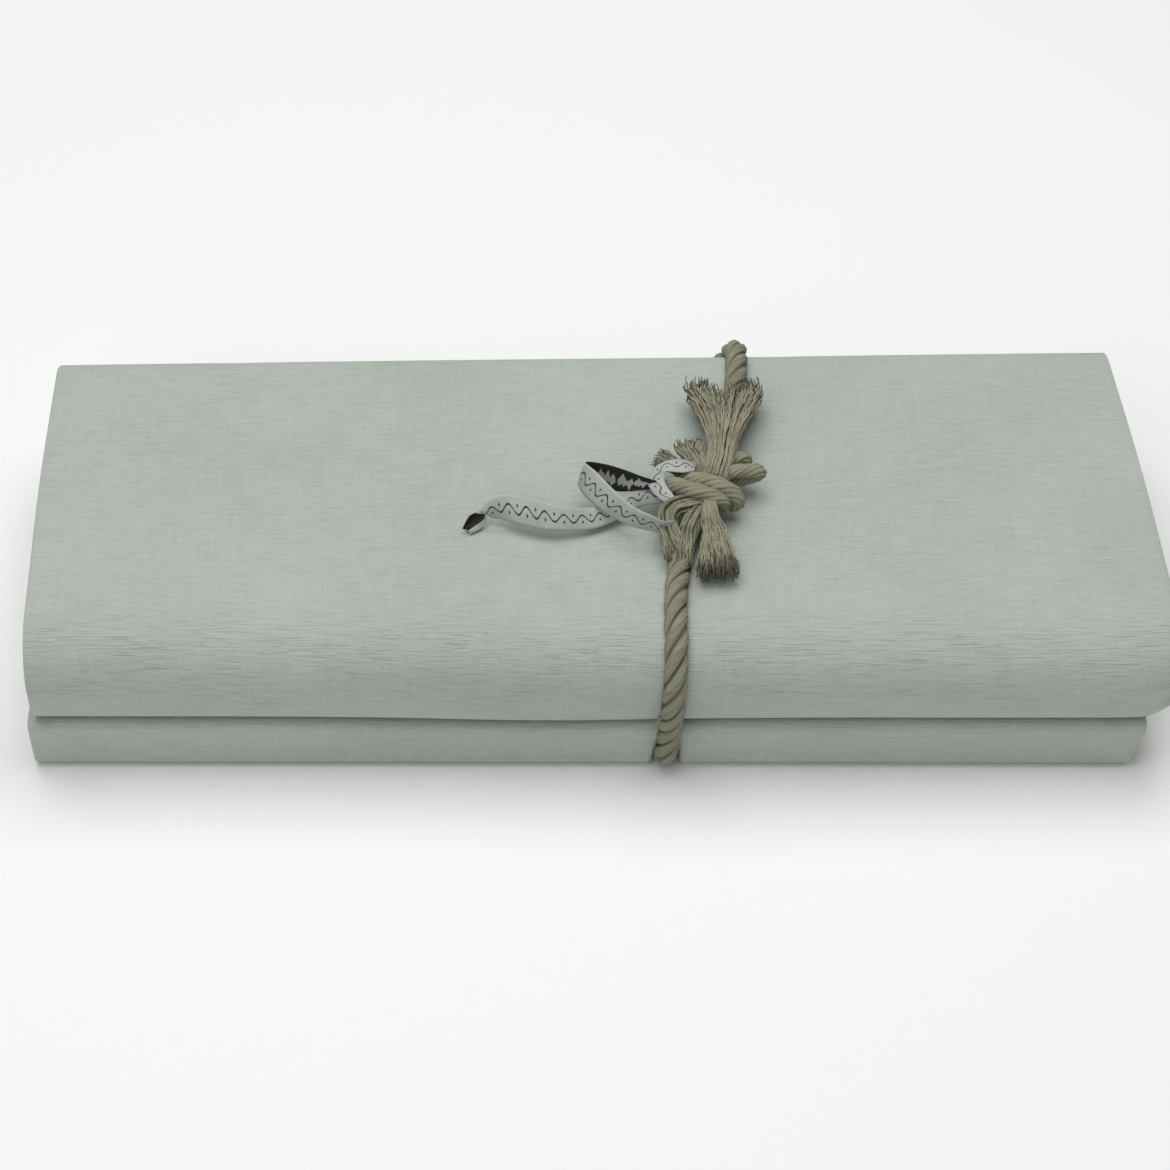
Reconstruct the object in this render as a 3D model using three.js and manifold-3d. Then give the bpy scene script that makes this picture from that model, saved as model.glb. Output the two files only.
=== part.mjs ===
// Folded linen tablecloth tied with a cotton rope and a narrow ribbon.
// Millimetres, +X along the folds, +Y towards the spine at the back, +Z up.
import * as THREE from 'three';
import { mergeVertices } from 'three/addons/utils/BufferGeometryUtils.js';
import Module from 'manifold-3d';

const wasm = await Module();
wasm.setup();

// Packet: six plies folded in thirds, so eighteen levels, the six lowest a bundle of their own
const packet = { length: 420, front: -89.5, lowerFront: -84.6, back: 87.5, levels: 18, lowerLevels: 6 };
const ply = { thickness: 2.4, pitch: 3.74, slack: 0.5 };
const topHeight = (packet.levels - 1) * ply.pitch + ply.thickness;
const crevice = packet.lowerLevels * ply.pitch;
const lean = { shear: 0.049, backSkew: 4.6, lowerShift: -6.2, lowerSpread: -3.8, pillow: 1.2, dip: 1.6 };

// Moves the whole so that its box is centred on the origin in plan
const toCentre = { x: 0, y: 0.4 };

// Level of each ply (1 lies lowest) in the order in which the cloth runs through them
const foldOrder = [11, 14, 5, 2, 17, 8, 9, 16, 3, 4, 15, 10, 7, 18, 1, 6, 13, 12];
const looseEnds = { first: 62, last: 57 };

// Turns: start is where the plies leave the straight, stretch is reach over half height
const turns = {
  frontUpper: { start: -66, stretch: 1.084, squareness: 2.2 },
  frontLower: { start: -72, stretch: 1.22, squareness: 4 },
  backInner: { start: 58, stretch: 0.8, squareness: 2 },
  spine: { start: 68, reach: 18.3, step: 3, squareness: 2.6 },
};

// Groove that the rope presses into the packet
const groove = { place: 42, flat: 5.4, edge: 11, lift: 9.7, fade: 45, press: 2.2, shoulder: 60, window: 75 };
const stations = [-210, -140, -70, -10, 31, 36.4, 42, 47.6, 53, 85, 130, 172, 210];

// Rope of three strands, laid right-handed
const rope = { strand: 2.6, offset: 1.8, lay: 36, stepsPerTurn: 8, sides: 12, gap: 0.5 };
const knotRope = { scale: 0.93, sides: 9, step: 3.2 };
const ropeLine = { frontTop: 31, backTop: 57, frontBottom: 28.5, backBottom: 25, reach: 70, height: 60 };

// Rope around the packet: points of the neat outline, the way out of it (0 is up, 90 is forward,
// 180 is down) and how far the rope stands off
const ropeRows = [
  { y: -18, z: 66, facing: 0, off: 0 },
  { y: -36, z: 66, facing: 0, off: 0 },
  { y: -52, z: 66, facing: 0, off: 0 },
  { y: -67, z: 66, facing: 4, off: 0 },
  { y: -78.5, z: 63.3, facing: 30, off: 0.1 },
  { y: -86.6, z: 55.8, facing: 60, off: 0.1 },
  { y: -89.5, z: 44.2, facing: 90, off: 0 },
  { y: -88.2, z: 35.3, facing: 104, off: 0 },
  { y: -86.4, z: 24.5, facing: 98, off: 0 },
  { y: -84.6, z: 12, facing: 94, off: 0.1 },
  { y: -83, z: 2.6, facing: 125, off: 0.2 },
  { y: -76, z: 0.1, facing: 166, off: 0.1 },
  { y: -62, z: 0, facing: 180, off: 0 },
  { y: -22, z: 0, facing: 180, off: 0 },
  { y: 18, z: 0, facing: 180, off: 0 },
  { y: 54, z: 0, facing: 180, off: 0 },
  { y: 68, z: 0, facing: 182, off: 0 },
  { y: 79, z: 3, facing: 222, off: 0.2 },
  { y: 85, z: 12, facing: 250, off: 0.1 },
  { y: 87.4, z: 26, facing: 268, off: 0.1 },
  { y: 87.4, z: 41, facing: 272, off: 0.1 },
  { y: 84.9, z: 54, facing: 290, off: 0.1 },
  { y: 78.9, z: 63, facing: 322, off: 0.1 },
  { y: 69, z: 66, facing: 352, off: 0 },
  { y: 54, z: 66, facing: 0, off: 0 },
  { y: 38, z: 66, facing: 0, off: 0 },
  { y: 20, z: 66, facing: 0, off: 0 },
  { y: 2, z: 66, facing: 0, off: 0 },
];

// Knot: short rope lengths that lie over the loop and are drawn tight into each other
const knotStrands = {
  frontWrap: [[31, -11.6, 73], [30, -13.6, 78], [32, -17, 81.8], [35.8, -20.6, 83.4], [40.4, -23.4, 83.6],
    [44.8, -24.6, 82.2], [48.4, -23.6, 78.5], [47.4, -21, 73]],
  backWrap: [[37.4, -6.4, 73], [36.6, -7.6, 78.5], [39.4, -10.2, 81.8], [44.5, -13.2, 82.6], [50, -15.8, 81.8],
    [54, -18.6, 79.6], [55.6, -20.4, 76], [52.6, -18.4, 72.6]],
  rightBight: [[43.6, -9.6, 78.6], [48.4, -6.4, 78.8], [53.6, -4.9, 79.4], [59.4, -4.8, 79.2], [63.2, -6, 77.4],
    [62.8, -8, 75.2], [58, -8.2, 74], [52, -7.4, 73.6]],
  backBight: [[44.6, -3.4, 75.4], [48.4, 0, 76.4], [52.6, 2, 77.4], [57.2, 3.8, 77], [58.8, 3.4, 75],
    [55.6, 1.6, 74], [50, 0, 73.6]],
  leftBend: [[42.3, -18, 77], [37, -22.2, 78], [31, -25.4, 78.4], [27.4, -27, 77.4]],
  leftEnd: [[38.6, -8, 75], [34.6, -5, 75.2], [31.6, -2.7, 75.4]],
  lowerEnd: [[44.5, -16.3, 79], [42.9, -24, 79.4], [42, -30, 79], [42.5, -34.6, 78]],
  upperEnd: [[45.2, -12, 79.4], [47.4, -6.6, 79.6], [49, -1, 80], [50.3, 5, 80], [50.6, 10.7, 79.5]],
};

// Frayed ends: root, heading in plan, spread of the yarns and their lengths
const frays = {
  upper_frayed_end: {
    root: [50.6, 11.4, 79.4], heading: 90, spread: 30, count: 24, length: 36, drop: 2.6, split: 0.26,
    radius: 3.8, head: 2.4,
  },
  lower_frayed_end: {
    root: [42.7, -35.8, 77.9], heading: -76, spread: 32, count: 18, length: 22, drop: 4.2, split: 0,
    radius: 3.8, head: 2.4,
  },
  back_tuft: {
    root: [37.7, -1.6, 79.4], heading: 106, spread: 32, count: 10, length: 14, drop: 2.4, split: 0,
    radius: 3, head: 2,
  },
  left_tuft: {
    root: [31.2, -2.5, 75.4], heading: 142, spread: 40, count: 7, length: 8, drop: 1.4, split: 0,
    radius: 2.4, head: 2,
  },
};
const yarn = { root: 0.95, tip: 0.6, sides: 3, steps: 2 };

// Ribbon: rows give its upper (or rear) and lower (or near) edge along each strip
const ribbon = { thickness: 1.0, steps: 2 };
const ribbonTail = [
  { upper: [35.2, -6.2, 83.4], lower: [33.8, -10.8, 86] },
  { upper: [29, -4.8, 84], lower: [28, -11, 86.4] },
  { upper: [21.4, -6.8, 83.4], lower: [24.2, -12.4, 84.4] },
  { upper: [18.2, -13, 81.6], lower: [24.2, -15.4, 83] },
  { upper: [18.4, -19, 77.6], lower: [24.4, -21, 77.4] },
  { upper: [19.4, -22, 73], lower: [22.4, -30.4, 70.8] },
  { upper: [8.6, -20.2, 73], lower: [13, -25.4, 69.6] },
  { upper: [1.4, -20.6, 74.6], lower: [3.2, -27, 70] },
  { upper: [-5.3, -24, 77], lower: [-4.2, -29.2, 70.4] },
  { upper: [-12.2, -24.9, 78.8], lower: [-11.6, -30.6, 71.5] },
  { upper: [-19.4, -22.8, 79.5], lower: [-18.3, -30.3, 71.8] },
  { upper: [-25.7, -21, 80], lower: [-24.2, -28.6, 71.8] },
  { upper: [-32.4, -19.7, 80], lower: [-30.6, -25.9, 71.5] },
  { upper: [-36.6, -20.4, 79.4], lower: [-34, -23.7, 71] },
  { upper: [-40.4, -23.4, 77], lower: [-37, -22.6, 71.4] },
  { upper: [-42.4, -27, 72], lower: [-40.2, -22.6, 71.2] },
  { upper: [-44, -29.4, 67.9], lower: [-46.6, -23.6, 68.6] },
];
const ribbonLoop = [
  { upper: [25.4, -34.8, 80.6], lower: [25, -33.6, 73.6] },
  { upper: [22.6, -34.1, 82], lower: [21, -32.8, 73.8] },
  { upper: [16.6, -31.1, 83], lower: [14.3, -31, 74.4] },
  { upper: [11.6, -26.8, 84], lower: [6, -25.8, 75.2] },
  { upper: [5.9, -19.9, 85], lower: [0.2, -20.5, 76] },
  { upper: [1.3, -13.3, 85.5], lower: [-3.9, -14.2, 76] },
  { upper: [-2.6, -8, 85.5], lower: [-6.1, -7.6, 76] },
  { upper: [3.7, -8.2, 85], lower: [-0.9, -3.1, 76] },
  { upper: [11.7, -10.4, 84], lower: [8.4, -6.6, 75.4] },
  { upper: [18.4, -13, 83], lower: [15.8, -10.6, 75] },
  { upper: [22.8, -14.2, 82.2], lower: [21.6, -13, 75] },
];

const linenMaterial = new THREE.MeshStandardMaterial({ color: 0xdfe3da, roughness: 0.9, metalness: 0 });
const ropeMaterial = new THREE.MeshStandardMaterial({ color: 0xb3ab93, roughness: 0.95, metalness: 0 });
const frayMaterial = new THREE.MeshStandardMaterial({ color: 0xb0a48a, roughness: 0.95, metalness: 0 });
const ribbonMaterial = new THREE.MeshStandardMaterial({ color: 0xf0efe9, roughness: 0.45, metalness: 0 });

const smooth = (low, high, value) => THREE.MathUtils.smoothstep(value, low, high);

// Closed body between a row of rings with the same number of points
function loft(rings, closed, caps) {
  const count = rings[0].length;
  const positions = rings.flat().flatMap((point) => point.toArray());
  const index = [];
  const spans = closed ? rings.length : rings.length - 1;
  for (let row = 0; row < spans; row += 1) {
    const here = row * count;
    const next = ((row + 1) % rings.length) * count;
    for (let k = 0; k < count; k += 1) {
      const after = (k + 1) % count;
      index.push(here + k, here + after, next + after);
      index.push(here + k, next + after, next + k);
    }
  }
  const last = (rings.length - 1) * count;
  for (const [a, b, c] of caps) {
    index.push(c, b, a);
    index.push(last + a, last + b, last + c);
  }
  const geometry = new THREE.BufferGeometry();
  geometry.setAttribute('position', new THREE.Float32BufferAttribute(positions, 3));
  geometry.setIndex(index);
  return geometry;
}

// Caps of a ring that is round enough for a fan
function fanCaps(count) {
  return Array.from({ length: count - 2 }, (_, k) => [0, k + 1, k + 2]);
}

function toSolid(geometry) {
  const merged = mergeVertices(geometry, 1e-4);
  const solid = new wasm.Manifold(new wasm.Mesh({
    numProp: 3,
    vertProperties: new Float32Array(merged.getAttribute('position').array),
    triVerts: new Uint32Array(merged.getIndex().array),
  }));
  return solid;
}

function toGeometry(solid) {
  const mesh = solid.getMesh();
  const geometry = new THREE.BufferGeometry();
  geometry.setAttribute('position', new THREE.BufferAttribute(mesh.vertProperties, 3));
  geometry.setIndex(new THREE.BufferAttribute(mesh.triVerts, 1));
  return geometry;
}

// One solid of pieces that touch, without the small hollows that they shut in between them
function joined(geometries) {
  const whole = geometries.map(toSolid).reduce((sum, solid) => sum.add(solid));
  const shells = whole.decompose();
  return toGeometry(shells.reduce((outer, shell) => (shell.volume() > outer.volume() ? shell : outer)));
}

// Height of a ply's middle above the surface
function levelHeight(level) {
  return ply.thickness / 2 + (level - 1) * ply.pitch;
}

// The turn that joins two plies at the front (side -1) or the back (side 1)
function turnBetween(from, to, side) {
  const half = Math.abs(levelHeight(to) - levelHeight(from)) / 2;
  const lowest = Math.min(from, to);
  if (side > 0 && lowest <= packet.lowerLevels) {
    return { ...turns.spine, half, reach: turns.spine.reach - (lowest - 1) * turns.spine.step };
  }
  let turn = turns.backInner;
  if (side < 0) {
    turn = lowest > packet.lowerLevels ? turns.frontUpper : turns.frontLower;
  }
  return { ...turn, half, reach: half * turn.stretch };
}

// Half superellipse from one ply's height to the next one's
function turnPoints(from, to, side) {
  const turn = turnBetween(from, to, side);
  const steps = Math.min(8, Math.max(3, Math.round(2.2 + turn.half / 3.6)));
  const middle = (levelHeight(from) + levelHeight(to)) / 2;
  const rise = (levelHeight(from) - levelHeight(to)) / 2;
  return Array.from({ length: steps + 1 }, (_, k) => {
    const angle = (Math.PI * k) / steps;
    const out = Math.sin(angle) ** (2 / turn.squareness);
    const up = Math.sign(Math.cos(angle)) * Math.abs(Math.cos(angle)) ** (2 / turn.squareness);
    return new THREE.Vector2(turn.start + side * turn.reach * out, middle + rise * up);
  });
}

// Middle line of the folded cloth in the YZ plane, from one loose end to the other
function foldPath() {
  const last = foldOrder.length - 1;
  const line = [new THREE.Vector2(looseEnds.first, levelHeight(foldOrder[0]))];
  foldOrder.forEach((level, order) => {
    const side = order % 2 === 0 ? -1 : 1;
    const height = levelHeight(level);
    if (level === packet.levels) {
      line.push(new THREE.Vector2(-24 * side, height), new THREE.Vector2(24 * side, height));
    } else {
      const inside = level > packet.lowerLevels + 1;
      line.push(new THREE.Vector2(0, height + (inside ? ply.slack * Math.sin(level * 2.3) : 0)));
    }
    if (order < last) {
      line.push(...turnPoints(level, foldOrder[order + 1], side));
    }
  });
  line.push(new THREE.Vector2(looseEnds.last, levelHeight(foldOrder[last])));
  return line;
}

// Outline of the cloth's thickness around its middle line
function foldOutline() {
  const line = foldPath();
  const left = [];
  const right = [];
  line.forEach((point, k) => {
    const before = line[Math.max(k - 1, 0)];
    const after = line[Math.min(k + 1, line.length - 1)];
    const inward = point.clone().sub(before).normalize();
    const outward = after.clone().sub(point).normalize();
    const along = inward.add(outward).normalize();
    const normal = new THREE.Vector2(-along.y, along.x).multiplyScalar(ply.thickness / 2);
    left.push(point.clone().add(normal));
    right.push(point.clone().sub(normal));
  });
  return [...right, ...left.reverse()];
}

// Middle of the rope in plan, at a depth and height of the packet
function ropePlace(y, z) {
  const backness = smooth(-ropeLine.reach, ropeLine.reach, y);
  const top = THREE.MathUtils.lerp(ropeLine.frontTop, ropeLine.backTop, backness);
  const bottom = THREE.MathUtils.lerp(ropeLine.frontBottom, ropeLine.backBottom, backness);
  return THREE.MathUtils.lerp(bottom, top, THREE.MathUtils.clamp(z / ropeLine.height, 0, 1));
}

// Where a point of the neat section comes to lie once the packet has settled and is tied
function settle(u, y, z) {
  const along = (2 * u) / packet.length;
  const depth = packet.back - packet.front;
  const frontness = THREE.MathUtils.clamp((turns.spine.start - y) / (turns.spine.start - packet.front), 0, 1);
  const pinch = 1 - smooth(groove.flat, groove.edge, Math.abs(u - groove.place));
  const follow = Math.exp(-(((u - groove.place) / groove.window) ** 2));

  let x = u - lean.shear * y + (ropePlace(y, z) + lean.shear * y - groove.place) * follow;
  if (z < crevice) {
    x += (lean.lowerShift + lean.lowerSpread * along) * frontness * (1 - follow);
  }

  const fullness = Math.cos((Math.PI * y) / (depth + 40)) * (1 - 0.7 * along * along);
  const nearCrevice = smooth(4, crevice, z) * (1 - smooth(crevice, 60, z)) * frontness;
  let upward = lean.pillow * fullness * smooth(crevice, topHeight, z);
  upward -= lean.dip * Math.exp(-(((u + 12) / 60) ** 2)) * nearCrevice;
  upward += groove.lift * pinch * Math.max(0, 1 - z / groove.fade) ** 2;
  upward -= groove.press * pinch * (z / topHeight) ** 3;

  const bulge = 0.8 * Math.sin(u / 61 + 0.6) * smooth(-40, packet.front, y) * smooth(20, 40, z);
  let inward = (lean.backSkew * along * (y - packet.front)) / depth - bulge;
  inward += groove.press * pinch * smooth(-groove.shoulder, packet.lowerFront, y);
  inward -= groove.press * pinch * smooth(groove.shoulder, packet.back, y);
  return new THREE.Vector3(x, y + inward, z + upward);
}

function tablecloth() {
  const outline = foldOutline();
  const caps = THREE.ShapeUtils.triangulateShape(outline, []);
  const rings = stations.map((u) => outline.map((point) => settle(u, point.x, point.y)));
  return loft(rings, false, caps);
}

// Radius of the rope's three-lobed section at an angle
function ropeRadius(angle) {
  const third = (2 * Math.PI) / 3;
  const fromLobe = angle - third * Math.round(angle / third);
  const across = rope.offset * Math.sin(fromLobe);
  return rope.offset * Math.cos(fromLobe) + Math.sqrt(rope.strand ** 2 - across ** 2);
}

// Twisted rope along a curve: rows of rings between its two ends, or all the way round
function ropeAlong(points, closed, steps, sides, scale) {
  const curve = new THREE.CatmullRomCurve3(points, closed, 'centripetal');
  const thirds = (3 * curve.getLength()) / rope.lay;
  const twist = ((closed ? Math.round(thirds) : thirds) * 2 * Math.PI) / 3;
  const frames = curve.computeFrenetFrames(steps, closed);
  const rings = Array.from({ length: closed ? steps : steps + 1 }, (_, row) => {
    const middle = curve.getPointAt(row / steps);
    return Array.from({ length: sides }, (__, k) => {
      const angle = (2 * Math.PI * k) / sides;
      const turned = angle + (twist * row) / steps;
      const radius = scale * ropeRadius(angle);
      const point = middle.clone().addScaledVector(frames.normals[row], radius * Math.cos(turned));
      return point.addScaledVector(frames.binormals[row], radius * Math.sin(turned));
    });
  });
  return loft(rings, closed, closed ? [] : fanCaps(sides));
}

// Middle of the rope around the settled packet
function ropeLoop() {
  const standoff = rope.strand + rope.offset + rope.gap;
  return ropeRows.map(({ y, z, facing, off }) => {
    const angle = THREE.MathUtils.degToRad(facing);
    const out = new THREE.Vector3(0, -Math.sin(angle), Math.cos(angle));
    return settle(groove.place, y, z).addScaledVector(out, standoff + off);
  });
}

function ropeTie() {
  const loop = ropeLoop();
  const loopSteps = Math.round((new THREE.CatmullRomCurve3(loop, true).getLength() / rope.lay) * rope.stepsPerTurn);
  const parts = [ropeAlong(loop, true, loopSteps, rope.sides, 1)];
  for (const route of Object.values(knotStrands)) {
    const points = route.map((point) => new THREE.Vector3(...point));
    const steps = Math.round(new THREE.CatmullRomCurve3(points).getLength() / knotRope.step);
    parts.push(ropeAlong(points, false, steps, knotRope.sides, knotRope.scale));
  }
  return joined(parts);
}

// Thin tapering prism for one yarn
function yarnAlong(curve) {
  const frames = curve.computeFrenetFrames(yarn.steps, false);
  const rings = [];
  for (let row = 0; row <= yarn.steps; row += 1) {
    const share = row / yarn.steps;
    const radius = THREE.MathUtils.lerp(yarn.root, yarn.tip, share);
    const middle = curve.getPoint(share);
    const ring = [];
    for (let k = 0; k < yarn.sides; k += 1) {
      const angle = (2 * Math.PI * k) / yarn.sides;
      const point = middle.clone();
      point.addScaledVector(frames.normals[row], radius * Math.cos(angle));
      point.addScaledVector(frames.binormals[row], radius * Math.sin(angle));
      ring.push(point);
    }
    rings.push(ring);
  }
  return loft(rings, false, fanCaps(yarn.sides));
}

// Frayed rope end: a short head with its yarns fanned out
function frayedEnd(fray) {
  const heading = THREE.MathUtils.degToRad(fray.heading);
  const ahead = new THREE.Vector3(Math.cos(heading), Math.sin(heading), 0);
  const beside = new THREE.Vector3(-Math.sin(heading), Math.cos(heading), 0);
  const root = new THREE.Vector3(...fray.root);
  const head = new THREE.CylinderGeometry(fray.radius, fray.radius, fray.head, 9);
  head.deleteAttribute('normal');
  head.deleteAttribute('uv');
  head.applyQuaternion(new THREE.Quaternion().setFromUnitVectors(new THREE.Vector3(0, 1, 0), ahead));
  const middle = root.clone().addScaledVector(ahead, fray.head / 2);
  head.translate(middle.x, middle.y, middle.z);
  const parts = [head];
  for (let k = 0; k < fray.count; k += 1) {
    const share = (k + 0.5) / fray.count;
    let side = 2 * share - 1;
    side = Math.sign(side) * (fray.split + (1 - fray.split) * Math.abs(side));
    const layer = (k % 3) - 1;
    const angle = heading - THREE.MathUtils.degToRad(fray.spread) * side;
    const reach = fray.length * (0.86 + 0.14 * Math.cos(2.7 * k)) * (1 - 0.12 * Math.abs(side));
    const start = root.clone().addScaledVector(ahead, fray.head * 0.6);
    start.addScaledVector(beside, -side * fray.radius * 0.72);
    start.z += layer * fray.radius * 0.5;
    const bend = start.clone().addScaledVector(ahead, reach * 0.42);
    bend.z += 0.5;
    const end = start.clone();
    end.x += reach * Math.cos(angle);
    end.y += reach * Math.sin(angle);
    end.z += layer * 0.8 - fray.drop + 0.6 * Math.sin(3.1 * k);
    parts.push(yarnAlong(new THREE.QuadraticBezierCurve3(start, bend, end)));
  }
  return joined(parts);
}

// Flat strip between two edge lines
function strip(rows) {
  const edge = (name) => new THREE.CatmullRomCurve3(
    rows.map((row) => new THREE.Vector3(...row[name])),
    false,
    'centripetal',
  );
  const upper = edge('upper');
  const lower = edge('lower');
  const spans = rows.length - 1;
  const steps = spans * ribbon.steps;
  const rings = [];
  for (let row = 0; row <= steps; row += 1) {
    const share = row / steps;
    const top = upper.getPoint(share);
    const bottom = lower.getPoint(share);
    const along = upper.getTangent(share).add(lower.getTangent(share)).normalize();
    const face = top.clone().sub(bottom).cross(along).normalize().multiplyScalar(ribbon.thickness / 2);
    rings.push([
      top.clone().sub(face),
      bottom.clone().sub(face),
      bottom.clone().add(face),
      top.clone().add(face),
    ]);
  }
  return loft(rings, false, fanCaps(4));
}

function ribbonPiece() {
  return joined([strip(ribbonTail), strip(ribbonLoop)]);
}

const pieces = [
  { name: 'tablecloth', geometry: tablecloth(), material: linenMaterial },
  { name: 'rope_tie', geometry: ropeTie(), material: ropeMaterial },
  ...Object.entries(frays).map(([name, fray]) => ({
    name,
    geometry: frayedEnd(fray),
    material: frayMaterial,
  })),
  { name: 'ribbon', geometry: ribbonPiece(), material: ribbonMaterial },
];

const tiedTablecloth = new THREE.Group();
for (const { name, geometry, material } of pieces) {
  geometry.translate(toCentre.x, toCentre.y, 0);
  const mesh = new THREE.Mesh(geometry, material);
  mesh.name = name;
  tiedTablecloth.add(mesh);
}

export default tiedTablecloth;
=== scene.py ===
"""Looks of a folded linen tablecloth tied with a rope and a narrow ribbon.

Sizes are in millimetres and are turned into metres when a mesh is made. +X runs along the folds, +Y to
the back and +Z up.
"""

import logging
import math
from dataclasses import dataclass, field
from enum import Enum

import bpy
import numpy as np
from mathutils import Matrix, Vector


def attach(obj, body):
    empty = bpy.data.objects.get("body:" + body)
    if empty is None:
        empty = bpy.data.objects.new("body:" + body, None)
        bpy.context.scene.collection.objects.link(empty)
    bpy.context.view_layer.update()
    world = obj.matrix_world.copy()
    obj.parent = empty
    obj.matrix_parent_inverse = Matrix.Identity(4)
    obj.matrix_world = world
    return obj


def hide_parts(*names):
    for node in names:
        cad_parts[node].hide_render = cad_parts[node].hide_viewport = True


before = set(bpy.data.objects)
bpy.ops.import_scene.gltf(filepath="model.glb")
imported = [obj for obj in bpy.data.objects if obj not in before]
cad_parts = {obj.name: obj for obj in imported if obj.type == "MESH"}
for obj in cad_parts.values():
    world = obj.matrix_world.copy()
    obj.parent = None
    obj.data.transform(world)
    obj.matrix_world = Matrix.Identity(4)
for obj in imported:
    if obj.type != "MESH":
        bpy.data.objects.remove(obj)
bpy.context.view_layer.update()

LOG = logging.getLogger("tablecloth")
MILLIMETRE = 0.001
BODY = "root"
# Shift that puts the middle of the footprint at the origin.
CENTRING = np.array([0.0, 0.4, 0.0])
ACROSS = np.array([1.0, 0.0, 0.0])
UP = np.array([0.0, 0.0, 1.0])

Place = tuple[float, float, float]
Colour = tuple[float, float, float]


class Side(Enum):
    """The two long sides of the packet, by the sign of Y."""

    FRONT = -1
    BACK = 1


class Slot(Enum):
    """Material slots of the record that the pieces take their finish from."""

    LINEN = "linen"
    ROPE = "rope"
    YARN = "frayed_yarn"
    RIBBON = "ribbon"


def smooth(low: float, high: float, value: np.ndarray) -> np.ndarray:
    """Return a smooth step from 0 at low to 1 at high."""
    share = np.clip((value - low) / (high - low), 0.0, 1.0)
    return share * share * (3.0 - 2.0 * share)


def unit(vectors: np.ndarray) -> np.ndarray:
    """Return vectors scaled to length one."""
    return vectors / np.maximum(np.linalg.norm(vectors, axis=-1, keepdims=True), 1e-9)


def aimed(place: Vector, ahead: Vector) -> Matrix:
    """Return the placing of a camera or light that stands at a place, in metres, and looks ahead."""
    return Matrix.Translation(place) @ ahead.to_track_quat("-Z", "Y").to_matrix().to_4x4()


@dataclass(frozen=True)
class Route:
    """A smooth route through given points."""

    points: tuple[tuple[float, ...], ...]
    closed: bool = False

    def fine(self, per_span: int = 24) -> np.ndarray:
        """Interpolate the points with a centripetal spline.

        Args:
            per_span: How many samples each span gets.

        Returns:
            The sampled points, without the repeated first one of a closed route.
        """
        given = np.asarray(self.points, float)
        if self.closed:
            padded = np.vstack([given[-1:], given, given[:2]])
        else:
            padded = np.vstack([2 * given[:1] - given[1:2], given, 2 * given[-1:] - given[-2:-1]])
        spans = []
        for row in range(1, len(padded) - 2):
            a, b, c, d = padded[row - 1:row + 3]
            t0 = 0.0
            t1 = t0 + np.linalg.norm(b - a) ** 0.5
            t2 = t1 + np.linalg.norm(c - b) ** 0.5
            t3 = t2 + np.linalg.norm(d - c) ** 0.5
            t = np.linspace(t1, t2, per_span, endpoint=False)[:, None]
            ab = ((t1 - t) * a + (t - t0) * b) / (t1 - t0)
            bc = ((t2 - t) * b + (t - t1) * c) / (t2 - t1)
            cd = ((t3 - t) * c + (t - t2) * d) / (t3 - t2)
            abc = ((t2 - t) * ab + (t - t0) * bc) / (t2 - t0)
            bcd = ((t3 - t) * bc + (t - t1) * cd) / (t3 - t1)
            spans.append(((t2 - t) * abc + (t - t1) * bcd) / (t2 - t1))
        if not self.closed:
            spans.append(given[-1:])
        return np.vstack(spans)

    def stepped(self, step: float) -> np.ndarray:
        """Return points about one step apart along the route."""
        fine = self.fine()
        if self.closed:
            fine = np.vstack([fine, fine[:1]])
        along = np.concatenate([[0.0], np.cumsum(np.linalg.norm(np.diff(fine, axis=0), axis=1))])
        count = max(2, int(round(along[-1] / step)))
        wanted = np.linspace(0.0, along[-1], count + 1)
        evened = np.stack([np.interp(wanted, along, fine[:, axis]) for axis in range(fine.shape[1])], axis=1)
        return evened[:-1] if self.closed else evened


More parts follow.
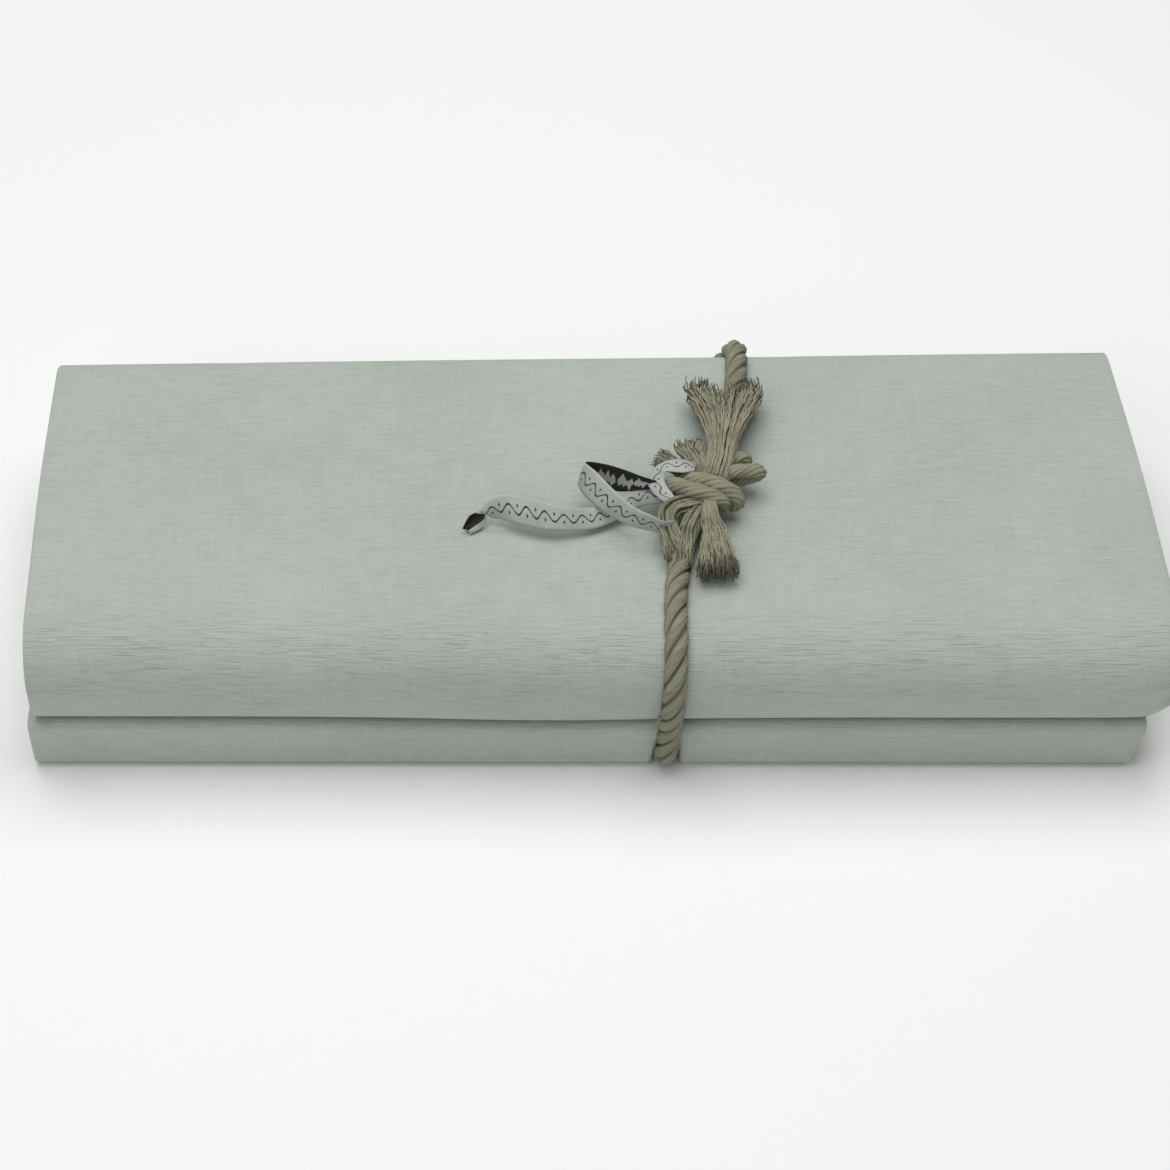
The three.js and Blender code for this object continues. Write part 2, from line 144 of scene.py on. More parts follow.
@dataclass
class Skin:
    """Vertices and faces that are gathered before one mesh is made of them."""

    vertices: list[np.ndarray] = field(default_factory=list)
    faces: list[np.ndarray] = field(default_factory=list)
    traits: list[np.ndarray] = field(default_factory=list)
    finishes: list[np.ndarray] = field(default_factory=list)
    count: int = 0

    def add(self, vertices: np.ndarray, faces: np.ndarray, traits: np.ndarray, finish: int = 0) -> None:
        """Add a patch.

        Args:
            vertices: Its points, in millimetres.
            faces: Its quads, as rows of four indices into the points.
            traits: Three numbers for each point, which the materials read.
            finish: Index of the material that the patch takes.
        """
        self.vertices.append(vertices)
        self.faces.append(faces + self.count)
        self.traits.append(traits)
        self.finishes.append(np.full(len(faces), finish))
        self.count += len(vertices)

    def add_tube(self, rings: np.ndarray, traits: np.ndarray, closed: bool = False) -> None:
        """Add a tube of rings, with flat ends unless it closes on itself.

        Args:
            rings: Points by ring, place round the ring and axis.
            traits: Three numbers for each of those points.
            closed: Whether the last ring joins the first.
        """
        rows, sides = rings.shape[:2]
        row = np.arange(rows if closed else rows - 1)[:, None]
        place = np.arange(sides)[None, :]
        here = row * sides
        beyond = ((row + 1) % rows) * sides
        after = (place + 1) % sides
        quads = np.stack([here + place, here + after, beyond + after, beyond + place], axis=-1).reshape(-1, 4)
        patches = [quads]
        if not closed:
            k = np.arange(1, sides - 1, 2)
            last = (rows - 1) * sides
            cap = np.stack([np.zeros_like(k), np.minimum(k + 2, sides - 1), k + 1, k], axis=-1)
            patches.append(cap)
            patches.append(last + cap[:, ::-1])
        self.add(rings.reshape(-1, 3), np.vstack(patches), traits.reshape(-1, 3))

    def add_sheet(self, middle: np.ndarray, shift: np.ndarray, traits: np.ndarray, turned: bool = False,
                  back_finish: int = 0) -> None:
        """Add a closed sheet with a face, a back and a rim.

        Args:
            middle: Points of its middle surface, by row, column and axis.
            shift: From each of those points to the face. The back lies as far to the other side.
            traits: Three numbers for each of those points.
            turned: Whether the quads run the other way round.
            back_finish: Index of the material that the back takes.
        """
        rows, columns = middle.shape[:2]
        count = rows * columns
        grid = np.arange(count).reshape(rows, columns)
        order = [0, 3, 2, 1] if turned else [0, 1, 2, 3]
        corners = [grid[:-1, :-1], grid[:-1, 1:], grid[1:, 1:], grid[1:, :-1]]
        quads = np.stack(corners, axis=-1).reshape(-1, 4)[:, order]
        rim = np.concatenate([grid[0, :], grid[1:, -1], grid[-1, -2::-1], grid[-2:0:-1, 0]])
        rim_after = np.roll(rim, -1)
        edge = np.stack([rim, count + rim, count + rim_after, rim_after], axis=-1)[:, order]
        points = np.concatenate([(middle + shift).reshape(-1, 3), (middle - shift).reshape(-1, 3)])
        both = np.concatenate([traits.reshape(-1, 3), traits.reshape(-1, 3)])
        self.add(points, np.vstack([quads, count + quads[:, ::-1], edge]), both)
        self.finishes[-1][len(quads):2 * len(quads)] = back_finish

    def piece(self, name: str, trait_name: str) -> bpy.types.Object:
        """Make one object of all that was added.

        Args:
            name: Name of the object.
            trait_name: Name of the attribute that carries the traits.

        Returns:
            The new object, linked into the scene and smooth shaded.
        """
        points = (np.vstack(self.vertices) + CENTRING) * MILLIMETRE
        quads = np.vstack(self.faces)
        mesh = bpy.data.meshes.new(name)
        rows = [tuple(dict.fromkeys(quad)) for quad in quads.tolist()]
        mesh.from_pydata(points.tolist(), [], rows)
        attribute = mesh.attributes.new(trait_name, "FLOAT_VECTOR", "POINT")
        attribute.data.foreach_set("vector", np.vstack(self.traits).astype(np.float32).ravel())
        mesh.polygons.foreach_set("material_index", np.concatenate(self.finishes).astype(np.int32))
        mesh.polygons.foreach_set("use_smooth", np.ones(len(rows), bool))
        mesh.validate()
        made = bpy.data.objects.new(name, mesh)
        bpy.context.scene.collection.objects.link(made)
        return made


class Shade:
    """A number socket that adds Math nodes when it is used in an expression."""

    def __init__(self, bench: "Bench", socket: bpy.types.NodeSocket) -> None:
        """Wrap a socket of the bench's tree."""
        self.bench = bench
        self.socket = socket

    def math(self, operation: str, *values: "Shade | float") -> "Shade":
        """Return the result of a Math node on the given values."""
        inputs = dict(enumerate(values))
        return self.bench.wire("ShaderNodeMath", {"operation": operation}, inputs)

    def __add__(self, other: "Shade | float") -> "Shade":
        """Return self + other."""
        return self.math("ADD", self, other)

    def __sub__(self, other: "Shade | float") -> "Shade":
        """Return self - other."""
        return self.math("SUBTRACT", self, other)

    def __rsub__(self, other: "Shade | float") -> "Shade":
        """Return other - self."""
        return self.math("SUBTRACT", other, self)

    def __mul__(self, other: "Shade | float") -> "Shade":
        """Return self * other."""
        return self.math("MULTIPLY", self, other)

    def __truediv__(self, other: "Shade | float") -> "Shade":
        """Return self / other."""
        return self.math("DIVIDE", self, other)

    def __pow__(self, other: "Shade | float") -> "Shade":
        """Return self ** other."""
        return self.math("POWER", self, other)

    __radd__ = __add__
    __rmul__ = __mul__

    def sine(self) -> "Shade":
        """Return the sine of self, in radians."""
        return self.math("SINE", self)

    def cosine(self) -> "Shade":
        """Return the cosine of self, in radians."""
        return self.math("COSINE", self)

    def size(self) -> "Shade":
        """Return the absolute value of self."""
        return self.math("ABSOLUTE", self)

    def between(self, low: float, high: float) -> "Shade":
        """Return a smooth step of self from 0 at low to 1 at high."""
        settings = {"interpolation_type": "SMOOTHSTEP"}
        inputs = {"Value": self, "From Min": low, "From Max": high}
        return self.bench.wire("ShaderNodeMapRange", settings, inputs)


@dataclass
class Bench:
    """Adds nodes to the tree of one material."""

    material: bpy.types.Material

    @classmethod
    def fresh(cls, name: str) -> "Bench":
        """Return a bench on a new material with an empty tree."""
        material = bpy.data.materials.new(name)
        material.use_nodes = True
        material.node_tree.nodes.clear()
        return cls(material)

    def node(self, kind: str, settings: dict, inputs: dict) -> bpy.types.Node:
        """Add a node.

        Args:
            kind: Blender's type name of the node.
            settings: Properties of the node, such as a Math node's operation, set first.
            inputs: Values or links of its sockets, by name or index.

        Returns:
            The new node.
        """
        made = self.material.node_tree.nodes.new(kind)
        for name, value in settings.items():
            setattr(made, name, value)
        for name, value in inputs.items():
            if isinstance(value, Shade):
                self.material.node_tree.links.new(value.socket, made.inputs[name])
            else:
                made.inputs[name].default_value = value
        return made

    def wire(self, kind: str, settings: dict, inputs: dict, output: str | int = 0) -> Shade:
        """Add a node and return one of its outputs."""
        return Shade(self, self.node(kind, settings, inputs).outputs[output])

    def trait(self, name: str) -> tuple[Shade, Shade, Shade]:
        """Return the three numbers of a mesh attribute."""
        vector = self.wire("ShaderNodeAttribute", {"attribute_name": name}, {}, "Vector")
        split = self.node("ShaderNodeSeparateXYZ", {}, {"Vector": vector})
        return tuple(Shade(self, output) for output in split.outputs)

    def vector(self, x: Shade | float, y: Shade | float, z: Shade | float) -> Shade:
        """Return a vector of three numbers."""
        return self.wire("ShaderNodeCombineXYZ", {}, {"X": x, "Y": y, "Z": z})

    def noise(self, place: Shade, detail: float = 2.0, roughness: float = 0.5) -> Shade:
        """Return cloudy noise, about 0 to 1, with cells of size one."""
        inputs = {"Vector": place, "Scale": 1.0, "Detail": detail, "Roughness": roughness}
        return self.wire("ShaderNodeTexNoise", {"noise_dimensions": "3D"}, inputs)

    def mix(self, share: Shade, start: Shade | tuple, end: Shade | tuple) -> Shade:
        """Return the colour that lies between start and end by share."""
        inputs = {0: share, 6: self._opaque(start), 7: self._opaque(end)}
        return self.wire("ShaderNodeMix", {"data_type": "RGBA"}, inputs, 2)

    @staticmethod
    def _opaque(colour: Shade | tuple) -> Shade | tuple:
        """Return a colour with the alpha that a socket wants."""
        return colour if isinstance(colour, Shade) else (*colour, 1.0)

    def bump(self, height: Shade, distance: float, strength: float = 1.0) -> Shade:
        """Return a normal that raises the surface by height times distance, in metres."""
        return self.wire("ShaderNodeBump", {}, {"Height": height, "Distance": distance, "Strength": strength})

    def finish(self, colour: Shade, roughness: Shade | float, normal: Shade, **constants: float) -> None:
        """End the tree in a Principled shader.

        Args:
            colour: Base colour.
            roughness: Roughness, varied or constant.
            normal: Normal from a Bump node.
            **constants: Other sockets by name, with underscores for spaces, the same all over.
        """
        inputs = {"Base Color": colour, "Roughness": roughness, "Normal": normal}
        for name, value in constants.items():
            inputs[name.replace("_", " ")] = value
        shader = self.wire("ShaderNodeBsdfPrincipled", {}, inputs)
        self.node("ShaderNodeOutputMaterial", {}, {"Surface": shader})


@dataclass(frozen=True)
class LinenFinish:
    """Pale plain-weave linen with slubs in both directions."""

    light: Colour = (0.515, 0.568, 0.508)
    dark: Colour = (0.40, 0.445, 0.395)
    thread: float = 0.62
    slub_width: float = 0.95
    weft_length: float = 15.0
    warp_length: float = 34.0
    slub_length: float = 14.0
    slub_pitch: float = 0.6
    relief: float = 0.00045

    def material(self) -> bpy.types.Material:
        """Return the material, which reads its place in the flat cloth from the weave attribute."""
        bench = Bench.fresh("Linen")
        across, along, bent = bench.trait("weave")
        weft = bench.noise(bench.vector(across / self.weft_length, along / self.slub_width, 3.0), 3.0, 0.7)
        warp = bench.noise(bench.vector(across / self.slub_width, along / self.warp_length, 7.0), 3.0, 0.7)
        short = bench.noise(bench.vector(across / 5.0, along / 1.3, 11.0), 2.0, 0.6)
        thick = self._slubs(bench, across, along, 21.0)
        thin = self._slubs(bench, across, along, 41.0)
        patch = bench.noise(bench.vector(across / 22.0, along / 12.0, 15.0), 2.0).between(0.4, 0.62)
        slub = (thick - thin) * (0.3 + bent * 0.3) * (0.62 + patch * 0.38)
        cloud = bench.noise(bench.vector(across / 60.0, along / 60.0, 5.0), 2.0)
        turn = 2.0 * math.pi / self.thread
        weave = (across * turn).sine() * (along * turn).sine()
        shade = weft * 0.5 + warp * 0.36 + short * 0.24 + cloud * 0.36 + slub * 0.26 - 0.19
        colour = bench.mix(shade.between(0.15, 0.85), self.dark, self.light)
        height = weft * 0.8 + warp * 0.6 + short * 0.4 + slub * 0.62 + weave * 0.1
        bench.finish(
            colour,
            0.92 - warp * 0.1,
            bench.bump(height, self.relief),
            Sheen_Weight=0.12,
            Sheen_Roughness=0.5,
            Specular_IOR_Level=0.2,
        )
        return bench.material

    def _slubs(self, bench: Bench, across: Shade, along: Shade, layer: float) -> Shade:
        """Return long uneven threads of the weft, 0 to 1, from one layer of the noise."""
        place = bench.vector(across / self.slub_length, along / self.slub_pitch, layer)
        return bench.noise(place, 1.0, 0.5).between(0.52, 0.68)


@dataclass(frozen=True)
class YarnFinish:
    """Natural cotton yarn: fine fibres along it, darker between the yarns by painted shade, and browner at
    cut ends.
    """

    name: str = "Rope"
    light: Colour = (0.385, 0.38, 0.276)
    dark: Colour = (0.24, 0.236, 0.162)
    tip: Colour = (0.30, 0.25, 0.165)
    groove_shade: float = 0.6
    relief: float = 0.00045

    def material(self) -> bpy.types.Material:
        """Return the material, which reads place along, place around and depth from the fibre attribute."""
        bench = Bench.fresh(self.name)
        along, around, depth = bench.trait("fibre")
        strand = bench.noise(bench.vector(along / 5.0, around * 1.6, 2.0), 3.0, 0.6)
        hair = bench.noise(bench.vector(along / 1.8, around * 4.5, 9.0), 2.0, 0.6)
        patch = bench.noise(bench.vector(along / 16.0, around * 0.3, 4.0), 1.0)
        lit = (strand * 0.5 + hair * 0.35 + patch * 0.35).between(0.25, 0.85)
        plain = bench.mix(lit, self.dark, self.light)
        # Painted shade: the depth trait darkens the yarn in the grooves between strands and between yarns.
        groove = depth.between(0.0, 0.9)
        shaded = bench.mix(groove, plain, tuple(self.groove_shade * value for value in self.dark))
        colour = bench.mix(depth.between(1.5, 2.2), shaded, self.tip)
        height = strand * 0.8 + hair * 0.6
        bench.finish(colour, 0.93, bench.bump(height, self.relief), Specular_IOR_Level=0.15)
        return bench.material


@dataclass(frozen=True)
class RibbonFinish:
    """Satin face of the ribbon, pale with a fine waved line, or its dark back with a light jagged band."""

    name: str
    ground: Colour
    mark: Colour
    jagged: bool = False
    wave_length: float = 7.0
    wave_height: float = 0.32
    line: float = 0.055
    line_edge: float = 0.05
    band_edge: float = 0.06
    rib_pitch: float = 0.45
    rib_relief: float = 0.00003
    cloud_shade: float = 0.88

    def material(self) -> bpy.types.Material:
        """Return the material, which reads place along and place across from the band attribute."""
        bench = Bench.fresh(self.name)
        along, across, plain = bench.trait("band")
        cloud = bench.noise(bench.vector(along / 9.0, across * 0.8, 1.0), 1.0)
        ribs = (along * (2.0 * math.pi / self.rib_pitch)).sine()
        if self.jagged:
            peaks = bench.noise(bench.vector(along / 1.7, 0.0, 6.0), 1.0) * 2.4 - 0.75
            feet = bench.noise(bench.vector(along / 2.1, 4.0, 9.0), 1.0) * 2.2 - 1.3
            below_peaks = (peaks - across).between(-self.band_edge, self.band_edge)
            above_feet = (across - feet).between(-self.band_edge, self.band_edge)
            print_mask = below_peaks * above_feet * (1.0 - plain)
        else:
            turn = 2.0 * math.pi / self.wave_length
            wave = (along * turn).sine()
            stem = (across - wave * self.wave_height).size()
            dot_across = across + wave * (self.wave_height * 0.9)
            dot_along = (along * turn).cosine() * 0.42
            dot = dot_across ** 2.0 + dot_along ** 2.0
            print_mask = 1.0 - stem.between(self.line, self.line + self.line_edge) * dot.between(0.012, 0.022)
        clouded = tuple(self.cloud_shade * value for value in self.ground)
        shade = bench.mix(cloud.between(0.3, 0.7), clouded, self.ground)
        colour = bench.mix(print_mask, shade, self.mark)
        bench.finish(
            colour,
            0.38 + cloud * 0.12,
            bench.bump(ribs, self.rib_relief),
            Specular_IOR_Level=0.45,
            Sheen_Weight=0.1,
        )
        return bench.material


@dataclass(frozen=True)
class Turn:
    """A turn of the cloth: where the plies leave the straight and how it rounds."""

    start: float
    stretch: float
    squareness: float


@dataclass(frozen=True)
class Packet:
    """The folded packet: its sizes, its fold path and how it has settled under the tie."""

    length: float = 420.0
    front: float = -89.5
    lower_front: float = -84.6
    back: float = 87.5
    levels: int = 18
    lower_levels: int = 6
    thickness: float = 2.4
    pitch: float = 3.74
    slack: float = 0.5
    shear: float = 0.049
    back_skew: float = 4.6
    lower_shift: float = -5.6
    lower_spread: float = -3.2
    ahead_depth: float = -25.0
    pillow: float = 1.2
    dip: float = 1.8
    dip_place: float = -12.0
    dip_width: float = 60.0
    bulge: float = 0.8
    bulge_pace: float = 61.0
    fold_order: tuple[int, ...] = (11, 14, 5, 2, 17, 8, 9, 16, 3, 4, 15, 10, 7, 18, 1, 6, 13, 12)
    first_end: float = 62.0
    last_end: float = 57.0
    stopped_levels: tuple[int, ...] = (1, 6, 7)
    stops: tuple[float, ...] = (-60.0, -48.0, -20.0, 20.0, 50.0)
    hidden_turn_steps: tuple[int, int] = (4, 8)
    front_upper: Turn = Turn(-66.0, 1.084, 2.2)
    tuck: float = 0.17
    tuck_squareness: float = 5.4
    lip: float = 0.14
    crevice_rise: float = 2.0
    fade_height: float = 60.0
    puff: float = 2.2
    puff_depths: tuple[float, float] = (-74.0, -84.0)
    front_lower: Turn = Turn(-72.0, 1.21, 5.0)
    back_inner: Turn = Turn(58.0, 0.8, 2.0)
    spine_start: float = 68.0
    spine_reach: float = 18.3
    spine_step: float = 3.0
    spine_squareness: float = 2.6
    groove_place: float = 42.0
    groove_flat: float = 2.5
    groove_edge: float = 4.2
    notch_flat: float = 4.5
    notch_edge: float = 6.0
    notch_fade: tuple[float, float] = (12.0, 50.0)
    groove_lift: float = 9.7
    groove_fade: float = 45.0
    groove_press: float = 2.2
    groove_shoulder: float = 60.0
    groove_window: float = 75.0
    end_slant: float = 5.0
    slant_reach: tuple[float, float] = (0.8, 1.0)
    end_lift: float = 11.0
    lift_reach: tuple[float, float] = (0.945, 1.02)
    rope_front_top: float = 30.3
    rope_back_top: float = 57.0
    rope_front_bottom: float = 27.2
    rope_back_bottom: float = 25.0
    rope_reach: float = 70.0
    rope_height: float = 60.0

    @property
    def top(self) -> float:
        """Height of the neat packet."""
        return (self.levels - 1) * self.pitch + self.thickness

    @property
    def crevice(self) -> float:
        """Height of the crevice between the two bundles."""
        return self.lower_levels * self.pitch

    def level_height(self, level: int) -> float:
        """Return the height of a ply's middle."""
        return self.thickness / 2 + (level - 1) * self.pitch

    def _is_outer(self, start: int, end: int) -> bool:
        """Tell whether a turn between two plies shows on the outside."""
        return {start, end} in ({7, 18}, {18, 1}, {1, 6})

    def turn_points(self, start: int, end: int, side: Side, fine: float) -> np.ndarray:
        """Place the points of one turn.

        Args:
            start: Level of the ply that enters the turn.
            end: Level of the ply that leaves it.
            side: Long side of the packet where the turn lies.
            fine: Distance between points on the turns that show.

        Returns:
            Rows of Y and Z from one ply to the other.
        """
        half = abs(self.level_height(end) - self.level_height(start)) / 2
        lowest = min(start, end)
        if side is Side.BACK and lowest <= self.lower_levels:
            reach = self.spine_reach - (lowest - 1) * self.spine_step
            begin, squareness = self.spine_start, self.spine_squareness
        else:
            turn = self.back_inner
            if side is Side.FRONT:
                turn = self.front_upper if lowest > self.lower_levels else self.front_lower
            begin, squareness, reach = turn.start, turn.squareness, half * turn.stretch
        fewest, most = self.hidden_turn_steps
        steps = min(most, max(fewest, round(2.2 + half / 3.6)))
        if self._is_outer(start, end):
            steps = int(round((2 * half + 2 * reach) / fine))
        angle = np.linspace(0.0, math.pi, steps + 1)
        middle = (self.level_height(start) + self.level_height(end)) / 2
        rise = (self.level_height(start) - self.level_height(end)) / 2
        tucked = 0.0
        if side is Side.FRONT and lowest > self.lower_levels:
            below = np.cos(angle) * rise < 0
            squareness = np.where(below, self.tuck_squareness, squareness)
            tucked = np.where(below, self.tuck * np.abs(np.cos(angle)) ** (2 / squareness), 0.0)
        if side is Side.FRONT and lowest <= self.lower_levels:
            above = np.clip(np.cos(angle) * math.copysign(1.0, rise), 0.0, 1.0)
            tucked = -self.lip * above ** (2 / squareness)
        out = np.sin(angle) ** (2 / squareness) * (1 - tucked)
        up = np.sign(np.cos(angle)) * np.abs(np.cos(angle)) ** (2 / squareness)
        return np.stack([begin + side.value * reach * out, middle + rise * up], axis=1)

    def fold_path(self, fine: float) -> np.ndarray:
        """Return the middle line of the folded cloth, as rows of Y and Z, about fine apart where it shows."""
        line = [np.array([[self.first_end, self.level_height(self.fold_order[0])]])]
        last = len(self.fold_order) - 1
        for order, level in enumerate(self.fold_order):
            side = Side.FRONT if order % 2 == 0 else Side.BACK
            height = self.level_height(level)
            if level == self.levels:
                count = int((self.spine_start - self.front_upper.start) / fine)
                middle = np.linspace(self.front_upper.start, self.spine_start, count + 1)[1:-1] * side.value
            elif level in self.stopped_levels:
                middle = np.array(self.stops) * side.value
            else:
                middle = np.array([0.0])
            inside = level > self.lower_levels + 1 and level != self.levels
            slack = self.slack * math.sin(level * 2.3) if inside else 0.0
            line.append(np.stack([middle, np.full_like(middle, height + slack)], axis=1))
            if order < last:
                line.append(self.turn_points(level, self.fold_order[order + 1], side, fine))
        line.append(np.array([[self.last_end, self.level_height(self.fold_order[last])]]))
        return np.vstack(line)

    def rope_place(self, y: np.ndarray, z: np.ndarray) -> np.ndarray:
        """Return the middle of the rope in X at a depth and height of the packet."""
        backness = smooth(-self.rope_reach, self.rope_reach, y)
        top = self.rope_front_top + (self.rope_back_top - self.rope_front_top) * backness
        bottom = self.rope_front_bottom + (self.rope_back_bottom - self.rope_front_bottom) * backness
        return bottom + (top - bottom) * np.clip(z / self.rope_height, 0.0, 1.0)

    def settle(self, u: np.ndarray, y: np.ndarray, z: np.ndarray) -> np.ndarray:
        """Move points of the neat packet to where they lie once it has settled and is tied.

        Args:
            u: Place along the packet.
            y: Depth in the neat section.
            z: Height in the neat section.

        Returns:
            The points, with X, Y and Z on the last axis.
        """
        pinch = self._pinch(u, y, z)
        placed = [self._sideways(u, y, z), y + self._inward(u, y, z, pinch), z + self._upward(u, y, z, pinch)]
        return np.stack(placed, axis=-1)

    def _pinch(self, u: np.ndarray, y: np.ndarray, z: np.ndarray) -> np.ndarray:
        """Return how much of the rope's groove is pressed in at places of the packet, 0 to 1."""
        aloft = np.maximum(smooth(*self.notch_fade, z), smooth(-68, -78, y) * smooth(3, 12, z))
        flat = self.notch_flat + (self.groove_flat - self.notch_flat) * aloft
        edge = self.notch_edge + (self.groove_edge - self.notch_edge) * aloft
        return 1 - smooth(flat, edge, np.abs(u - self.groove_place))

    def _sideways(self, u: np.ndarray, y: np.ndarray, z: np.ndarray) -> np.ndarray:
        """Return X: the packet is skewed, its groove follows the rope and the lower bundle is shifted."""
        along = 2 * u / self.length
        follow = np.exp(-(((u - self.groove_place) / self.groove_window) ** 2))
        x = u - self.shear * y + (self.rope_place(y, z) + self.shear * y - self.groove_place) * follow
        ahead = smooth(self.spine_start, self.ahead_depth, y)
        lower = (self.lower_shift + self.lower_spread * along) * ahead * (1 - follow)
        slant = self.end_slant * smooth(*self.slant_reach, along) * ahead * (1 - z / self.crevice)
        return x + np.where(z < self.crevice, lower - slant, 0.0)

    def _upward(self, u: np.ndarray, y: np.ndarray, z: np.ndarray, pinch: np.ndarray) -> np.ndarray:
        """Return how far places of the packet are raised by soft fullness, the crevice and the groove."""
        along = 2 * u / self.length
        depth = self.back - self.front
        frontness = np.clip((self.spine_start - y) / (self.spine_start - self.front), 0.0, 1.0)
        fading = 1 - smooth(self.crevice, self.fade_height, z)
        fullness = np.cos(math.pi * y / (depth + 40)) * (1 - 0.7 * along * along)
        near = smooth(4, self.crevice, z) * fading * frontness
        upward = self.pillow * fullness * smooth(self.crevice, self.top, z)
        corner = smooth(*self.lift_reach, along) * frontness * fading
        upward = upward + np.where(z > self.crevice, self.end_lift * corner, 0.0)
        dip = self.dip * np.exp(-(((u - self.dip_place) / self.dip_width) ** 2))
        upward = upward + (self.crevice_rise - dip) * near
        puffed = smooth(*self.puff_depths, y) * smooth(8, self.crevice, z)
        upward = upward + np.where(z < self.crevice, self.puff * puffed, 0.0)
        upward = upward + self.groove_lift * pinch * np.maximum(0, 1 - z / self.groove_fade) ** 2
        return upward - self.groove_press * pinch * (z / self.top) ** 3

    def _inward(self, u: np.ndarray, y: np.ndarray, z: np.ndarray, pinch: np.ndarray) -> np.ndarray:
        """Return how far places of the packet move back, by the skew, the bulge and the groove."""
        along = 2 * u / self.length
        depth = self.back - self.front
        wave = self.bulge * np.sin(u / self.bulge_pace + 0.6)
        bulge = wave * smooth(-40, self.front, y) * smooth(20, 40, z)
        inward = self.back_skew * along * (y - self.front) / depth - bulge
        inward = inward + self.groove_press * pinch * smooth(-self.groove_shoulder, self.lower_front, y)
        return inward - self.groove_press * pinch * smooth(self.groove_shoulder, self.back, y)


@dataclass(frozen=True)
class Crease:
    """A soft trough, or a ridge if its depth is below zero, pressed into the top or the front."""

    x: float
    y: float
    heading: float
    length: float
    width: float
    depth: float

    def depth_at(self, x: np.ndarray, y: np.ndarray) -> np.ndarray:
        """Return how deep the crease is at places of the surface."""
        angle = math.radians(self.heading)
        along = (x - self.x) * math.cos(angle) + (y - self.y) * math.sin(angle)
        beside = (y - self.y) * math.cos(angle) - (x - self.x) * math.sin(angle)
        return self.depth * np.exp(-((along / self.length) ** 2) - (beside / self.width) ** 2)


